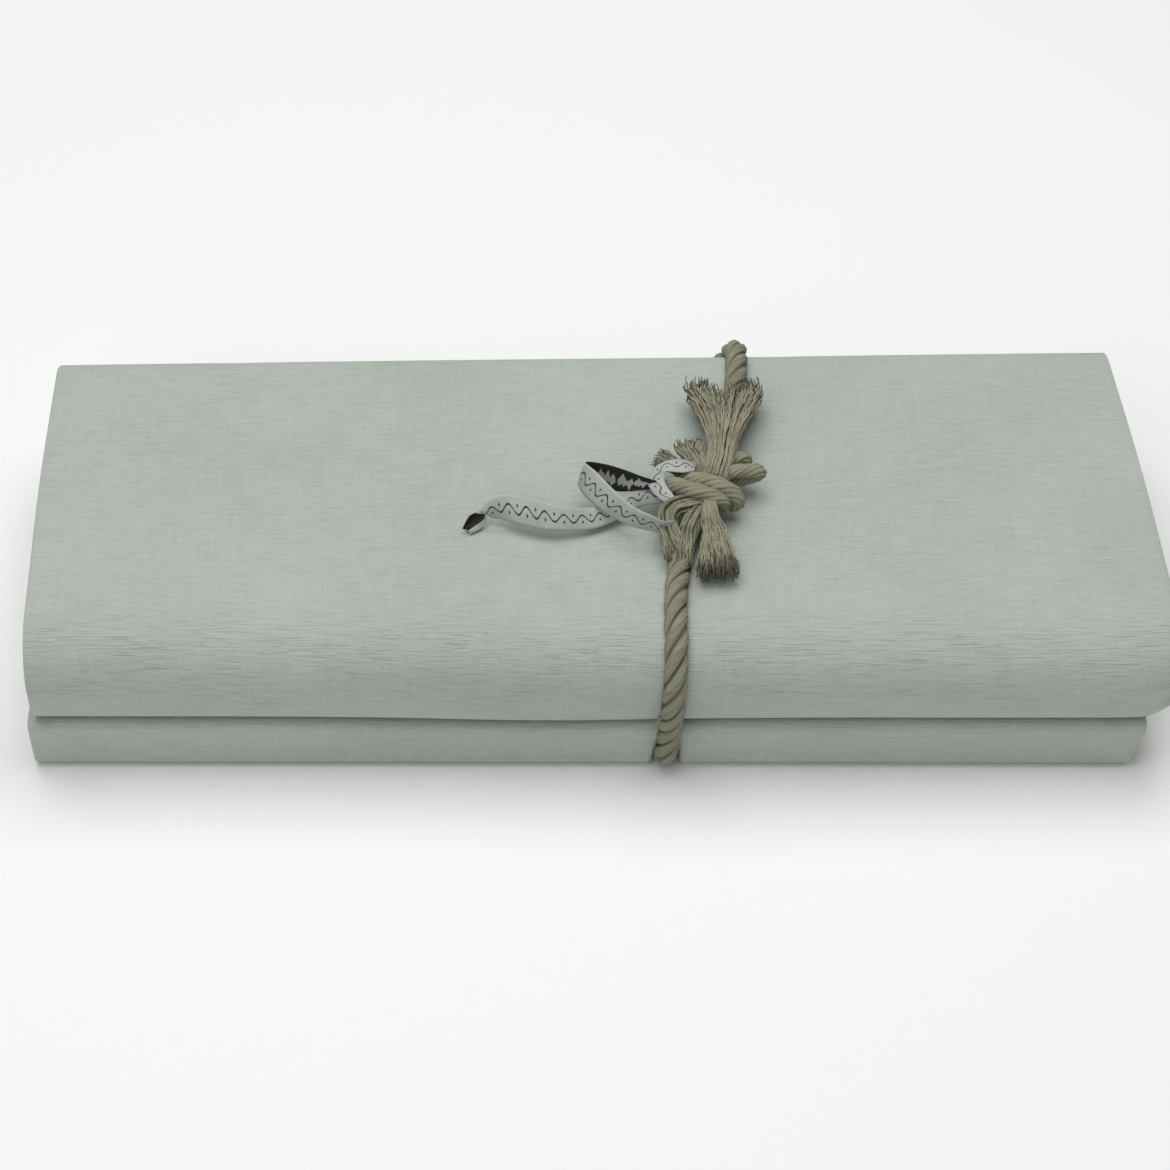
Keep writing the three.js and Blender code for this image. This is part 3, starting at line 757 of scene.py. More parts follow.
@dataclass
class Cloth:
    """The tablecloth: one sheet, quartered across its width and folded into the packet."""

    packet: Packet
    layer: float = 0.54
    layer_offsets: tuple[float, ...] = (-0.93, 0.93, 0.31, -0.31)
    hem: float = 12.0
    hem_extra: float = 0.3
    fine: float = 3.4
    shown_step: float = 4.2
    hidden_step: float = 38.0
    shown_beside_rope: tuple[float, ...] = (1.6, 2.5, 3.0, 3.4, 3.8, 4.2, 4.7, 5.3, 6.0, 7.2)
    hidden_beside_rope: tuple[float, ...] = (29.0, 33.0, 38.0, 42.0, 46.0, 51.0, 55.0)
    rope_window: float = 15.0
    fold_steps: int = 4
    end_draw: float = 0.9
    top_creases: tuple[Crease, ...] = (
        Crease(-150.0, 20.0, 82.0, 70.0, 9.0, 0.35),
        Crease(-96.0, -30.0, 4.0, 120.0, 8.0, 0.3),
        Crease(-20.0, 40.0, -12.0, 60.0, 9.0, 0.35),
        Crease(120.0, -10.0, 70.0, 60.0, 11.0, 0.4),
        Crease(160.0, 52.0, 10.0, 60.0, 10.0, 0.3),
        Crease(66.0, 10.0, 84.0, 60.0, 10.0, 0.5),
        Crease(16.0, -30.0, 96.0, 34.0, 8.0, 0.45),
    )
    front_creases: tuple[Crease, ...] = (
        Crease(204.0, 40.0, 87.0, 24.0, 4.0, 1.3),
        Crease(120.0, 36.0, 14.0, 60.0, 7.0, 0.5),
        Crease(-60.0, 40.0, -6.0, 90.0, 7.0, 0.4),
        Crease(-170.0, 44.0, 30.0, 40.0, 7.0, 0.5),
        Crease(52.0, 46.0, 60.0, 20.0, 6.0, 0.6),
        Crease(16.0, 46.0, 118.0, 22.0, 6.0, 0.6),
    )

    @property
    def flat_size(self) -> tuple[float, float]:
        """Width and length of the flat cloth, in metres."""
        path = self.packet.fold_path(self.fine)
        length = np.linalg.norm(np.diff(path, axis=0), axis=1).sum()
        return 4 * self.packet.length * MILLIMETRE, float(length) * MILLIMETRE

    def _width_points(self) -> tuple[np.ndarray, np.ndarray, np.ndarray]:
        """Place the cloth's width: place along the packet, offset from the ply's middle and distance."""
        half = self.packet.length / 2
        beside = np.array(self.shown_beside_rope)
        shown_columns = self.packet.groove_place + np.concatenate([-beside, beside])
        x_rows: list[np.ndarray] = []
        d_rows: list[np.ndarray] = []
        for order, offset in enumerate(self.layer_offsets):
            leftward = order % 2 == 0
            after = self.layer_offsets[(order + 1) % 4]
            before = self.layer_offsets[order - 1]
            end = abs(after - offset) / 2 if order < 3 else 0.0
            begin = abs(before - offset) / 2 if order > 0 else 0.0
            step = self.shown_step if order == 1 else self.hidden_step
            low, high = (end, begin) if leftward else (begin, end)
            x = np.arange(-half + low, half - high, step)
            x = np.append(x, half - high)
            if order == 1:
                x = np.union1d(x, shown_columns)
            else:
                clear = np.abs(x - self.packet.groove_place) > self.rope_window
                x = np.union1d(x[clear], self.hidden_beside_rope)
                hems = np.array([half - self.hem - 1, half - self.hem])
                x = np.union1d(x, hems) if order in (0, 3) else x
            x = x[::-1] if leftward else x
            x_rows.append(x)
            d_rows.append(np.full_like(x, offset))
            if order < 3:
                radius = (after - offset) / 2
                angle = np.linspace(0, math.pi, self.fold_steps + 2)[1:-1]
                out = (-1 if leftward else 1) * abs(radius) * np.sin(angle)
                x_rows.append(x[-1] + out)
                d_rows.append(offset + radius * (1 - np.cos(angle)))
        x_all = np.concatenate(x_rows)
        d_all = np.concatenate(d_rows)
        steps = np.hypot(np.diff(x_all), np.diff(d_all))
        return x_all, d_all, np.concatenate([[0.0], np.cumsum(steps)])

    def _relief(self, points: np.ndarray) -> np.ndarray:
        """Press the creases into settled points."""
        x, y, z = points[..., 0], points[..., 1], points[..., 2]
        high = smooth(40, 64, z)
        ahead = smooth(-50, -84, y) * smooth(24, 34, z)
        downward = sum(crease.depth_at(x, y) for crease in self.top_creases) * high
        inward = sum(crease.depth_at(x, z) for crease in self.front_creases) * ahead
        moved = points.copy()
        moved[..., 2] -= downward
        moved[..., 1] += inward
        return moved

    def _middle_surface(self) -> tuple[np.ndarray, np.ndarray, np.ndarray]:
        """Place the sheet's middle surface, with the distances along and across the flat cloth."""
        path = self.packet.fold_path(self.fine)
        steps = unit(np.diff(path, axis=0))
        along = unit(np.vstack([steps[:1], steps[:-1] + steps[1:], steps[-1:]]))
        normal = np.stack([-along[:, 1], along[:, 0]], axis=1)
        run = np.concatenate([[0.0], np.cumsum(np.linalg.norm(np.diff(path, axis=0), axis=1))])
        x, offset, width = self._width_points()
        section = path[:, None, :] + normal[:, None, :] * offset[None, :, None]
        endness = smooth(0.86, 1.0, np.abs(2 * x / self.packet.length))
        draw_in = self.end_draw + self.end_draw * np.sin(run / 91 + 0.7) * np.sin(run / 37)
        u = x[None, :] - np.sign(x)[None, :] * endness[None, :] * draw_in[:, None]
        points = self.packet.settle(u, section[..., 0], section[..., 1])
        return self._relief(points), run, width

    def build(self) -> bpy.types.Object:
        """Return the sheet with its thickness."""
        middle, run, width = self._middle_surface()
        lengthwise = np.gradient(middle, run, axis=0)
        crosswise = np.gradient(middle, width, axis=1)
        normal = unit(np.cross(crosswise, lengthwise))
        from_hem = np.minimum(width, width[-1] - width)
        half = (self.layer + self.hem_extra * (1 - smooth(self.hem, self.hem + 1, from_hem))) / 2
        traits = np.zeros(middle.shape)
        traits[..., 0] = width[None, :]
        traits[..., 1] = run[:, None]
        traits[..., 2] = smooth(-64, -82, middle[..., 1]) * smooth(28, 44, middle[..., 2])
        skin = Skin()
        skin.add_sheet(middle, normal * half[None, :, None], traits)
        return skin.piece("folded_linen", "weave")

    def dress(self, piece: bpy.types.Object) -> None:
        piece.data.materials.append(LinenFinish().material())
        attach(piece, BODY)
        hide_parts("tablecloth")
        self.flat_size


@dataclass(frozen=True)
class Strand:
    """Make-up of the rope: three strands, each with yarn ridges round it."""

    radius: float = 2.6
    offset: float = 1.8
    yarns: int = 8
    sides: int = 32
    ridge: float = 0.13
    counter: float = -0.75
    pattern_shift: float = 200.0

    def add_loop(self, skin: Skin, middle: np.ndarray, normal: np.ndarray, binormal: np.ndarray,
                 twist: np.ndarray) -> None:
        """Add the three strands of a loop that closes after a whole number of turns.

        Args:
            skin: Gathers the tubes.
            middle: Points of the rope's middle line, the last one on the first.
            normal: Unit vector across the line at each point.
            binormal: Unit vector across the line and the normal.
            twist: Angle by which the strands have turned at each point.
        """
        steps = np.linalg.norm(np.diff(middle, axis=0), axis=1)
        along = np.concatenate([[0.0], np.cumsum(steps)])
        place = np.linspace(0, 2 * math.pi, self.sides, endpoint=False)
        inward = np.abs((place + math.pi) % (2 * math.pi) - math.pi)
        for number in range(3):
            turned = twist + 2 * math.pi * number / 3
            out = normal * np.cos(turned)[:, None] + binormal * np.sin(turned)[:, None]
            side = binormal * np.cos(turned)[:, None] - normal * np.sin(turned)[:, None]
            centre = middle + out * self.offset
            phase = place[None, :] + (self.counter - 1) * twist[:, None]
            valley = 1 - np.abs(np.cos(self.yarns * phase / 2))
            reach = self.radius * (1 + self.ridge * (0.4 - valley))
            rings = centre[:, None, :] + out[:, None, :] * (reach * np.cos(place))[..., None]
            rings = rings + side[:, None, :] * (reach * np.sin(place))[..., None]
            traits = np.zeros(rings.shape)
            traits[..., 0] = along[:, None] + self.pattern_shift * number
            traits[..., 1] = phase * self.radius
            # Depth into the grooves, which the material turns into painted shade where the strand faces the
            # others and between its yarns.
            traits[..., 2] = smooth(1.0, 1.9, inward)[None, :] + 0.35 * valley
            skin.add_tube(rings[:-1], traits[:-1], closed=True)


def carried_frames(middle: np.ndarray, first: np.ndarray) -> tuple[np.ndarray, np.ndarray]:
    """Carry a direction along a line without twisting it.

    Args:
        middle: Points of the line.
        first: Direction across the line at its first point.

    Returns:
        Two unit vectors across the line at each point.
    """
    tangent = unit(np.gradient(middle, axis=0))
    normals = []
    carried = first
    for direction in tangent:
        carried = unit(carried - direction * np.dot(carried, direction))
        normals.append(carried)
    normal = np.array(normals)
    return normal, np.cross(tangent, normal)


@dataclass(frozen=True)
class Wrap:
    """A stretch of rope in the knot, pressed so that its yarns show more than its strands."""

    route: tuple[Place, ...]
    radius: float = 3.9
    yarns: int = 8
    sides_per_yarn: int = 9
    ridge: float = 0.34
    lobe: float = 0.12
    lay: float = -26.0
    step: float = 1.1
    taper: float = 0.12
    seed: int = 3

    def add_to(self, skin: Skin) -> None:
        """Add the stretch to a skin."""
        chance = np.random.default_rng(self.seed)
        middle = Route(self.route).stepped(self.step)
        normal, binormal = carried_frames(middle, ACROSS)
        sides = self.yarns * self.sides_per_yarn
        place = np.linspace(0, 2 * math.pi, sides, endpoint=False)
        yarn = np.floor(place / (2 * math.pi) * self.yarns).astype(int)
        proud = chance.uniform(-0.16, 0.16, self.yarns)[yarn]
        share = np.linspace(0, 1, len(middle))
        twist = share * len(middle) * self.step * 2 * math.pi / self.lay
        scale = 1 - self.taper * (1 - np.sin(math.pi * share))
        valley = 1 - np.sin(place * self.yarns / 2 % math.pi)
        ridges = proud - self.ridge * valley + self.lobe * np.cos(3 * place)
        reach = self.radius * scale[:, None] + ridges[None, :]
        turned = place[None, :] + twist[:, None]
        rings = middle[:, None, :] + normal[:, None, :] * (reach * np.cos(turned))[..., None]
        rings = rings + binormal[:, None, :] * (reach * np.sin(turned))[..., None]
        traits = np.zeros(rings.shape)
        traits[..., 0] = (share * len(middle) * self.step + 70.0 * self.seed)[:, None]
        traits[..., 1] = place[None, :] * self.radius
        # Depth between the yarns, which the material turns into painted shade.
        traits[..., 2] = 0.6 * valley[None, :] ** 3
        skin.add_tube(rings, traits)


@dataclass(frozen=True)
class Bundle:
    """Loose yarns that run together along a route and then fan out."""

    route: tuple[Place, ...]
    count: int
    radius: float
    neck: tuple[float, float]
    fan: tuple[float, float]
    spread: float
    split: float = 0.0
    drop: float = 0.0
    curl: float = 0.8
    hook: float = 0.0
    crimp: float = 0.3
    crimp_length: float = 9.0
    shortest: float = 0.84
    browned: float = 1.0
    seed: int = 1
    step: float = 1.5
    sides: int = 5
    fan_start: float = 0.45
    notch: float = 0.0

    def add_to(self, skin: Skin) -> None:
        """Add the yarns to a skin."""
        chance = np.random.default_rng(self.seed)
        middle = Route(self.route).stepped(self.step)
        tangent = unit(np.gradient(middle, axis=0))
        level = unit(np.cross(tangent, UP))
        upright = np.cross(level, tangent)
        whole = np.linspace(0, 1, len(middle))
        for number in range(self.count):
            side = 2 * (number + 0.5) / self.count - 1 + chance.normal(0, 0.03)
            longest = 1 - self.notch * math.exp(-((side / 0.3) ** 2))
            reach = max(5, int(len(middle) * longest * chance.uniform(self.shortest, 1.0)))
            share = whole[:reach]
            fanned = math.copysign(self.split + (1 - self.split) * abs(side), side)
            tier = chance.uniform(-1, 1)
            opened = smooth(self.fan_start, 1.0, share)
            hooked = self.hook * smooth(0.8, 1.0, share) ** 2 * chance.uniform(0.2, 1.3)
            neck_side = side * self.neck[0] * math.sqrt(max(0.1, 1 - 0.6 * tier * tier))
            beside = neck_side * (1 - opened) + fanned * (self.fan[0] + self.spread * share) * opened
            beside = beside - math.copysign(1.0, side) * hooked
            above = tier * (self.neck[1] * (1 - opened) + self.fan[1] * opened) - self.drop * opened ** 2
            wave = chance.uniform(0, 2 * math.pi, 3)
            pace = chance.uniform(2.2, 4.2)
            wiggle = self.curl * share * np.sin(pace * share * 4 + wave[0])
            lift = self.curl * 0.6 * share * np.sin(pace * share * 5 + wave[1])
            twirl = share * len(middle) * self.step / self.crimp_length * 2 * math.pi + wave[2]
            crimped = self.crimp * (0.4 + 0.6 * opened)
            line = middle[:reach] + level[:reach] * (beside + wiggle + crimped * np.cos(twirl))[:, None]
            line = line + upright[:reach] * (above + lift + crimped * np.sin(twirl))[:, None]
            self._add_yarn(skin, line, number, chance)

    def _add_yarn(self, skin: Skin, line: np.ndarray, number: int, chance: np.random.Generator) -> None:
        """Add one yarn as a tube that tapers and browns at its tip."""
        normal, binormal = carried_frames(line, UP)
        share = np.linspace(0, 1, len(line))
        place = np.linspace(0, 2 * math.pi, self.sides, endpoint=False)
        size = self.radius * chance.uniform(0.8, 1.2) * (1 - 0.5 * smooth(0.8, 1.0, share))
        turned = place[None, :] + share[:, None] * len(line) * 0.5
        reach = size[:, None] * (1 + 0.14 * np.cos(2 * turned))
        rings = line[:, None, :] + normal[:, None, :] * (reach * np.cos(turned))[..., None]
        rings = rings + binormal[:, None, :] * (reach * np.sin(turned))[..., None]
        traits = np.zeros(rings.shape)
        traits[..., 0] = (share * len(line) * self.step + 31.0 * number)[:, None]
        traits[..., 1] = place[None, :] * self.radius + 3.7 * number
        brown = 2.2 * self.browned * smooth(0.86, 1.0, share)
        traits[..., 2] = brown[:, None] + chance.uniform(0, 0.35)
        skin.add_tube(rings, traits)


@dataclass
class RopeTie:
    """The rope: a loop round the packet, drawn into a knot on top.

    Each row of the loop gives Y and Z on the neat packet, the way its surface faces in degrees, from up
    towards the front, and how far the rope stands off it beyond the gap.
    """

    packet: Packet
    strand: Strand = Strand()
    gap: float = 0.5
    step: float = 1.8
    lay: float = 27.0
    rows: tuple[tuple[float, float, float, float], ...] = (
        (-18, 66, 0, 0), (-36, 66, 0, 0), (-52, 66, 0, 0), (-67, 66, 4, 0), (-78.5, 63.3, 30, 0.1),
        (-86.6, 55.8, 60, 0.1), (-89.5, 44.2, 90, 0), (-88.2, 35.3, 104, 0), (-86.4, 24.5, 98, 0),
        (-84.6, 12, 94, 0.1), (-83, 2.6, 125, 0.2), (-76, 0.1, 166, 0.1), (-62, 0, 180, 0), (-22, 0, 180, 0),
        (18, 0, 180, 0), (54, 0, 180, 0), (68, 0, 182, 0), (79, 3, 222, 0.2), (85, 12, 250, 0.1),
        (87.4, 26, 268, 0.1), (87.4, 41, 272, 0.1), (84.9, 54, 290, 0.1), (78.9, 63, 322, 0.1),
        (69, 66, 352, 0), (54, 66, 0, 0), (38, 66, 0, 0), (20, 66, 0, 0), (2, 66, 0, 0),
    )
    wraps: tuple[Wrap, ...] = (
        Wrap(
            ((30, -10, 73), (28.8, -12.4, 77.6), (30.6, -15.6, 80.6), (34.4, -18.6, 82.2),
             (39.6, -21.2, 82.6), (44.4, -22.4, 81.4), (48.4, -22, 78.6), (49, -20.6, 74.6)),
            radius=3.15, taper=0.24, seed=2,
        ),
        Wrap(
            ((35.6, -8, 73), (35, -9.8, 77.6), (37.4, -12.4, 80.2), (42.2, -14.6, 81.4),
             (47.8, -16.4, 80.6), (52, -17.6, 78.4), (54.2, -18.4, 75.4), (51.6, -17.6, 72.6)),
            radius=3.5, taper=0.14, seed=4,
        ),
        Wrap(
            ((43.6, -9.4, 78.6), (48.6, -7.8, 79.2), (54, -6.6, 79.6), (59.4, -5.6, 79.2),
             (62.6, -4.8, 77.8), (61.6, -4, 75.4), (56, -4.8, 74.2), (50, -6, 73.6)),
            radius=2.8, seed=6,
        ),
        Wrap(
            ((44.6, -3.4, 75.4), (48.4, 0, 76.4), (52.6, 2, 77.4), (56.8, 3.4, 77.2),
             (57.8, 3.4, 75.4), (54.6, 2.6, 73.6), (49, 1, 73.2)),
            radius=2.8, yarns=7, seed=7,
        ),
    )
    spread_strands: tuple[Bundle, ...] = (
        Bundle(
            ((46, -19, 76.5), (41, -21.5, 77.8), (35, -23.5, 78.4), (30, -25.6, 78.2), (27.4, -29, 77),
             (28, -34, 75.3), (30, -40, 73.4), (31.4, -48, 71)),
            count=64, radius=0.62, neck=(3.4, 2.6), fan=(3.8, 2.2), spread=0.0, browned=0.0, crimp=0.3,
            curl=0.5, seed=5, shortest=0.96,
        ),
        Bundle(
            ((45, -19, 76), (41, -24, 77.4), (37.4, -29.5, 77), (35, -36, 75), (33.6, -43, 72.6),
             (33, -50, 70.8)),
            count=52, radius=0.62, neck=(3.2, 2.3), fan=(3.2, 2.2), spread=0.0, browned=0.0, crimp=0.3,
            curl=0.5, seed=8, shortest=0.96,
        ),
    )

    def _loop(self) -> np.ndarray:
        """Return the middle line of the loop round the settled packet."""
        y, z, facing, off = np.array(self.rows, float).T
        angle = np.radians(facing)
        out = np.stack([np.zeros_like(angle), -np.sin(angle), np.cos(angle)], axis=1)
        base = self.packet.settle(np.full_like(y, self.packet.groove_place), y, z)
        standoff = self.strand.radius + self.strand.offset + self.gap + off
        points = base + out * standoff[:, None]
        route = Route(tuple(map(tuple, points)), closed=True).stepped(self.step)
        return np.vstack([route, route[:1]])

    def _twist(self, count: int) -> np.ndarray:
        """Return the angle of the lay along the loop, a whole number of turns in all."""
        turns = round((count - 1) * self.step / self.lay)
        return np.linspace(0.0, 2 * math.pi * turns, count)

    def build(self) -> bpy.types.Object:
        """Return the loop and the knot as one mesh."""
        skin = Skin()
        loop = self._loop()
        tangent = unit(np.roll(loop[:-1], -1, axis=0) - np.roll(loop[:-1], 1, axis=0))
        tangent = np.vstack([tangent, tangent[:1]])
        normal = unit(ACROSS - tangent * (tangent @ ACROSS)[:, None])
        binormal = np.cross(tangent, normal)
        self.strand.add_loop(skin, loop, normal, binormal, self._twist(len(loop)))
        for part in self.wraps + self.spread_strands:
            part.add_to(skin)
        return skin.piece("rope_loop_and_knot", "fibre")

    def dress(self, piece: bpy.types.Object) -> None:
        """Give the rope its yarn and put it in place of its solid."""
        piece.data.materials.append(YarnFinish().material())
        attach(piece, BODY)
        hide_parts("rope_tie")


@dataclass
class FrayedEnds:
    """The frayed rope ends and the two loose tufts at the knot."""

    finish: YarnFinish = YarnFinish(
        "Frayed yarn", light=(0.44, 0.425, 0.31), dark=(0.30, 0.285, 0.20), tip=(0.37, 0.32, 0.22),
    )
    bundles: dict[str, Bundle] = field(default_factory=lambda: {
        "upper_frayed_end": Bundle(
            ((45.6, -11.0, 79.0), (47.2, -5.0, 80.4), (48.4, 2.0, 81.0), (49.2, 10.0, 80.4),
             (50.0, 22.0, 80.0), (50.6, 35.0, 78.8), (50.8, 50.5, 77.0)),
            count=280, radius=0.42, neck=(4.9, 3.4), fan=(12.4, 3.4), spread=3.4, split=0.06, drop=1.0,
            notch=0.11, seed=11, fan_start=0.2, curl=0.7, hook=2.2, crimp=0.3, browned=0.55, shortest=0.88,
        ),
        "lower_frayed_end": Bundle(
            ((46.0, -15.0, 77.0), (44.0, -21.0, 78.6), (43.4, -29.0, 79.2), (44.6, -38.0, 78.2),
             (45.4, -47.0, 75.6), (46.4, -58.0, 71.6)),
            count=200, radius=0.42, neck=(2.6, 2.8), fan=(4.6, 3.0), spread=3.4, drop=0.6, seed=23,
            fan_start=0.2, curl=0.7, hook=0.7, crimp=0.35, browned=0.4, shortest=0.84,
        ),
        "back_tuft": Bundle(
            ((41.4, -8.0, 78.2), (39.4, -2.6, 79.8), (37.4, 4.0, 79.6), (35.8, 12.4, 77.6)),
            count=130, radius=0.26, neck=(3.4, 2.4), fan=(4.8, 2.6), spread=1.0, seed=31, curl=0.7,
            fan_start=0.1, hook=1.4, browned=0.9, shortest=0.86,
        ),
        "left_tuft": Bundle(
            ((36.0, -6.4, 76.0), (31.6, -3.6, 78.4), (27.2, -0.8, 79.6), (22.4, 1.6, 79.2)),
            count=120, radius=0.22, neck=(2.4, 1.8), fan=(3.6, 2.4), spread=1.0, seed=47, curl=1.2,
            fan_start=0.2, hook=1.0, browned=0.5, shortest=0.7,
        ),
    })

    def build_and_dress(self) -> None:
        """Make each end and put it in place of its solid."""
        material = self.finish.material()
        for node, bundle in self.bundles.items():
            skin = Skin()
            bundle.add_to(skin)
            piece = skin.piece(f"{node}_yarns", "fibre")
            piece.data.materials.append(material)
            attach(piece, BODY)
            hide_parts(node)
            LOG.info("%s: %d yarns", piece.name, bundle.count)


@dataclass
class Ribbon:
    """The narrow satin ribbon: a strip that is drawn into the knot, a tail and a loop on its edge.

    Each row of a strip gives its upper edge, its lower edge and the height of the curl across.
    """

    thickness: float = 0.24
    across_steps: int = 10
    per_span: int = 9
    knotted: tuple[tuple, ...] = (
        ((38.8, -3.6, 80.6), (38.2, -9.6, 82.8), 0.2),
        ((34.3, -3.6, 82.8), (34, -12.2, 84), 0.4),
        ((29.6, -4.4, 83.4), (29.8, -12, 84.2), 0.4),
        ((25, -6.2, 82.8), (27, -11.6, 83.8), 0.4),
        ((21.8, -9.4, 81), (26.6, -13.2, 82.6), 0.4),
        ((20.8, -14.2, 79.8), (27.6, -16.4, 81.2), 0.4),
        ((23.6, -19, 78.6), (30, -19.8, 80), 0.3),
        ((28.4, -23, 77.4), (32.6, -23.4, 77.6), 0.2),
    )
    tail: tuple[tuple, ...] = (
        ((24.6, -13.4, 80.4), (26.4, -19, 75), 0.3),
        ((18.4, -12.8, 77.4), (18.2, -17.8, 72), 0.4),
        ((12.2, -13.7, 74.8), (13.3, -20.6, 71), 0.4),
        ((6, -18.4, 74.2), (7.3, -24.4, 70), 0.4),
        ((-0.4, -21.8, 75.2), (1.4, -27.6, 70), 0.4),
        ((-5.6, -24, 77), (-4.2, -29.2, 70.4), 0.5),
        ((-12.2, -24.9, 78.8), (-11.6, -30.6, 71.5), 0.5),
        ((-19.4, -22.8, 79.5), (-18.3, -30.3, 71.8), 0.5),
        ((-25.7, -21, 80), (-24.2, -28.6, 71.8), 0.5),
        ((-32.4, -19.7, 80), (-30.6, -25.9, 71.5), 0.5),
        ((-36.8, -20.2, 79), (-34.4, -23.4, 70.8), 0.8),
        ((-40.4, -21.8, 76.8), (-37.8, -22.8, 71), 0.9),
        ((-43.8, -23.9, 74.3), (-39.8, -22.7, 73), 0.6),
    )
    rolled_end: tuple[tuple, ...] = (
        ((-39.8, -22.7, 73), (-43.8, -23.9, 74.3), 0.6),
        ((-39.7, -23, 71.6), (-45.6, -24.6, 73.6), 1.6),
        ((-40.7, -23.7, 70.4), (-46.6, -25.5, 72.6), 2.0),
        ((-43.4, -25.5, 69.1), (-47.8, -27.1, 70.8), 2.0),
        ((-45.7, -27.5, 68.5), (-48.4, -27.5, 69.5), 1.4),
    )
    end_lip: tuple[tuple, ...] = (
        ((-39.8, -22.7, 73), (-39.2, -23.4, 71.8), 0.1),
        ((-40.5, -23.6, 70.5), (-39.8, -24.6, 69.2), 0.2),
        ((-43.3, -25.4, 69.2), (-42.8, -26.9, 68), 0.2),
        ((-45.8, -27.4, 68.7), (-45.6, -28.5, 67.8), 0.2),
    )
    loop: tuple[tuple, ...] = (
        ((30, -33.6, 79.4), (29.6, -32.4, 73.4), 0.4),
        ((25.4, -34.8, 80.6), (25, -33.6, 73.6), 0.4),
        ((22.6, -34.1, 82), (21, -32.8, 73.8), 0.4),
        ((16.6, -31.1, 83), (14.3, -31, 74.4), 0.5),
        ((11.6, -26.8, 84), (6, -25.8, 75.2), 0.5),
        ((5.9, -19.9, 85), (0.2, -20.5, 76), 0.5),
        ((1.3, -13.3, 85.5), (-3.9, -14.2, 76), 0.5),
        ((-2.6, -8, 85.5), (-5.2, -8.8, 75.6), 0.3),
        ((3.7, -8.2, 85), (1.5, -9.6, 74.5), 0.3),
        ((11.7, -10.4, 84), (10.6, -12.2, 74.4), 0.3),
        ((18.4, -12.8, 82.8), (17.6, -14.2, 77), 0.3),
        ((23.8, -14.4, 82), (23.4, -15.6, 78.6), 0.3),
    )

    def _add_strip(self, skin: Skin, rows: tuple[tuple, ...], start: float, plain: float = 0.0) -> None:
        """Add one strip with a face and a back.

        Args:
            skin: Gathers the strips.
            rows: The strip's rows, as given in the class.
            start: Distance along the ribbon where the strip begins.
            plain: One where the back has no light band, otherwise zero.
        """
        upper = Route(tuple(row[0] for row in rows)).fine(self.per_span)
        lower = Route(tuple(row[1] for row in rows)).fine(self.per_span)
        wanted = np.linspace(0, len(rows) - 1, len(upper))
        bow = np.interp(wanted, np.arange(len(rows)), [row[2] for row in rows])
        share = np.linspace(0, 1, self.across_steps + 1)
        grid = upper[:, None, :] * (1 - share)[None, :, None] + lower[:, None, :] * share[None, :, None]
        middle = grid[:, self.across_steps // 2]
        steps = np.linalg.norm(np.diff(middle, axis=0), axis=1)
        along = start + np.concatenate([[0.0], np.cumsum(steps)])
        facing = unit(np.cross(np.gradient(middle, axis=0), lower - upper))
        arch = bow[:, None] * (1 - (2 * share - 1) ** 2)[None, :]
        grid = grid + facing[:, None, :] * arch[..., None]
        normal = unit(np.cross(np.gradient(grid, axis=0), np.gradient(grid, axis=1)))
        traits = np.zeros(grid.shape)
        traits[..., 0] = along[:, None]
        traits[..., 1] = (2 * share - 1)[None, :]
        traits[..., 2] = plain
        skin.add_sheet(grid, normal * self.thickness / 2, traits, turned=True, back_finish=1)

    def build(self) -> bpy.types.Object:
        """Return the ribbon as one mesh."""
        skin = Skin()
        self._add_strip(skin, self.knotted, start=400.0)
        self._add_strip(skin, self.tail, start=0.0)
        self._add_strip(skin, self.rolled_end, start=600.0, plain=1.0)
        self._add_strip(skin, self.end_lip, start=700.0)
        self._add_strip(skin, self.loop, start=200.0)
        return skin.piece("satin_ribbon", "band")

    def dress(self, piece: bpy.types.Object) -> None:
        """Give the ribbon its pale face and dark back."""
        face = RibbonFinish("Ribbon face", ground=(0.49, 0.515, 0.48), mark=(0.03, 0.03, 0.035))
        back = RibbonFinish(
            "Ribbon back", ground=(0.012, 0.013, 0.012), mark=(0.50, 0.50, 0.475), jagged=True,
        )
        piece.data.materials.append(face.material())
        piece.data.materials.append(back.material())
        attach(piece, BODY)
        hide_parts("ribbon")


@dataclass(frozen=True)
class Lamp:
    """A soft square light: its place and side in metres and its power in watts."""

    name: str
    place: Place
    size: float
    power: float


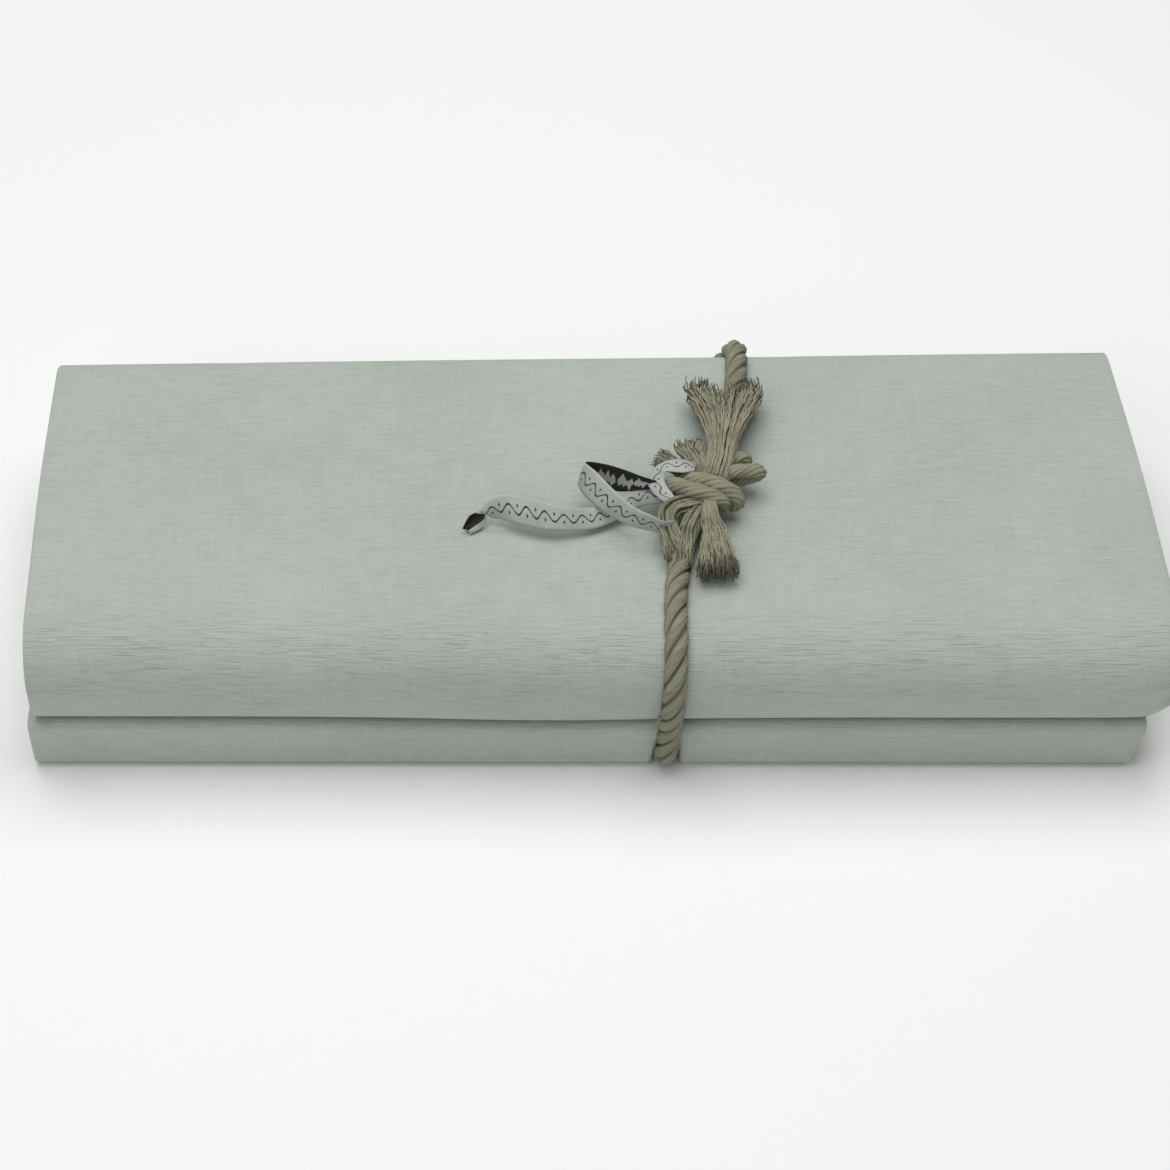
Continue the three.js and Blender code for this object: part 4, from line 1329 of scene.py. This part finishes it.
@dataclass
class Studio:
    """Camera at the photograph's angle, a pale floor and soft light from above."""

    eye: Place = (-0.97, -819.6, 809.7)
    elevation: float = 44.145
    azimuth: float = -0.126
    focal_pixels: float = 2917.8
    picture: float = 1170.0
    sensor: float = 36.0
    near_clip: float = 0.01
    floor_half: float = 6.0
    floor_colour: Colour = (0.97, 0.97, 0.97)
    floor_roughness: float = 0.9
    aim: Place = (0.0, 0.0, 0.03)
    lamps: tuple[Lamp, ...] = (
        Lamp("Overhead", (-0.05, 0.25, 1.9), 1.8, 30.0),
        Lamp("Front", (-0.75, -1.5, 1.5), 1.6, 9.7),
    )
    surroundings: float = 0.22

    def place_camera(self) -> None:
        """Set the camera where the photograph was taken."""
        camera = bpy.data.cameras.new("Camera")
        camera.sensor_width = self.sensor
        camera.lens = self.focal_pixels / self.picture * self.sensor
        camera.clip_start = self.near_clip
        holder = bpy.data.objects.new("Camera", camera)
        bpy.context.scene.collection.objects.link(holder)
        down = math.radians(self.elevation)
        turned = math.radians(self.azimuth)
        level = math.cos(down)
        ahead = Vector((math.sin(turned) * level, math.cos(turned) * level, -math.sin(down)))
        holder.matrix_world = aimed(Vector(self.eye) * MILLIMETRE, ahead)
        bpy.context.scene.camera = holder

    def lay_floor(self) -> None:
        """Lay a plain pale floor."""
        half = self.floor_half
        mesh = bpy.data.meshes.new("Floor")
        corners = [(-half, -half, 0), (half, -half, 0), (half, half, 0), (-half, half, 0)]
        mesh.from_pydata(corners, [], [(0, 1, 2, 3)])
        floor = bpy.data.objects.new("Floor", mesh)
        bpy.context.scene.collection.objects.link(floor)
        material = bpy.data.materials.new("Floor")
        material.use_nodes = True
        shader = material.node_tree.nodes["Principled BSDF"]
        shader.inputs["Base Color"].default_value = (*self.floor_colour, 1.0)
        shader.inputs["Roughness"].default_value = self.floor_roughness
        mesh.materials.append(material)

    def add_lamp(self, lamp: Lamp) -> None:
        """Add a lamp that faces the packet."""
        light = bpy.data.lights.new(lamp.name, "AREA")
        light.shape = "SQUARE"
        light.size = lamp.size
        light.energy = lamp.power
        holder = bpy.data.objects.new(lamp.name, light)
        bpy.context.scene.collection.objects.link(holder)
        holder.matrix_world = aimed(Vector(lamp.place), Vector(self.aim) - Vector(lamp.place))

    def light_up(self) -> None:
        """Set the lights and the pale surroundings."""
        for lamp in self.lamps:
            self.add_lamp(lamp)
        world = bpy.data.worlds.new("World")
        bpy.context.scene.world = world
        world.use_nodes = True
        background = world.node_tree.nodes["Background"]
        background.inputs["Color"].default_value = (1.0, 1.0, 1.0, 1.0)
        background.inputs["Strength"].default_value = self.surroundings
        bpy.context.scene.view_settings.view_transform = "Standard"


def main() -> None:
    """Build every sub-assembly in order and report it."""
    logging.basicConfig(level=logging.INFO, format="%(name)s: %(message)s")
    studio = Studio()
    studio.place_camera()
    studio.lay_floor()
    studio.light_up()
    packet = Packet()
    for maker in (Cloth(packet), RopeTie(packet), Ribbon()):
        piece = maker.build()
        maker.dress(piece)
        LOG.info("%s: %d faces", piece.name, len(piece.data.polygons))
    FrayedEnds().build_and_dress()


if __name__ == "__main__":
    main()
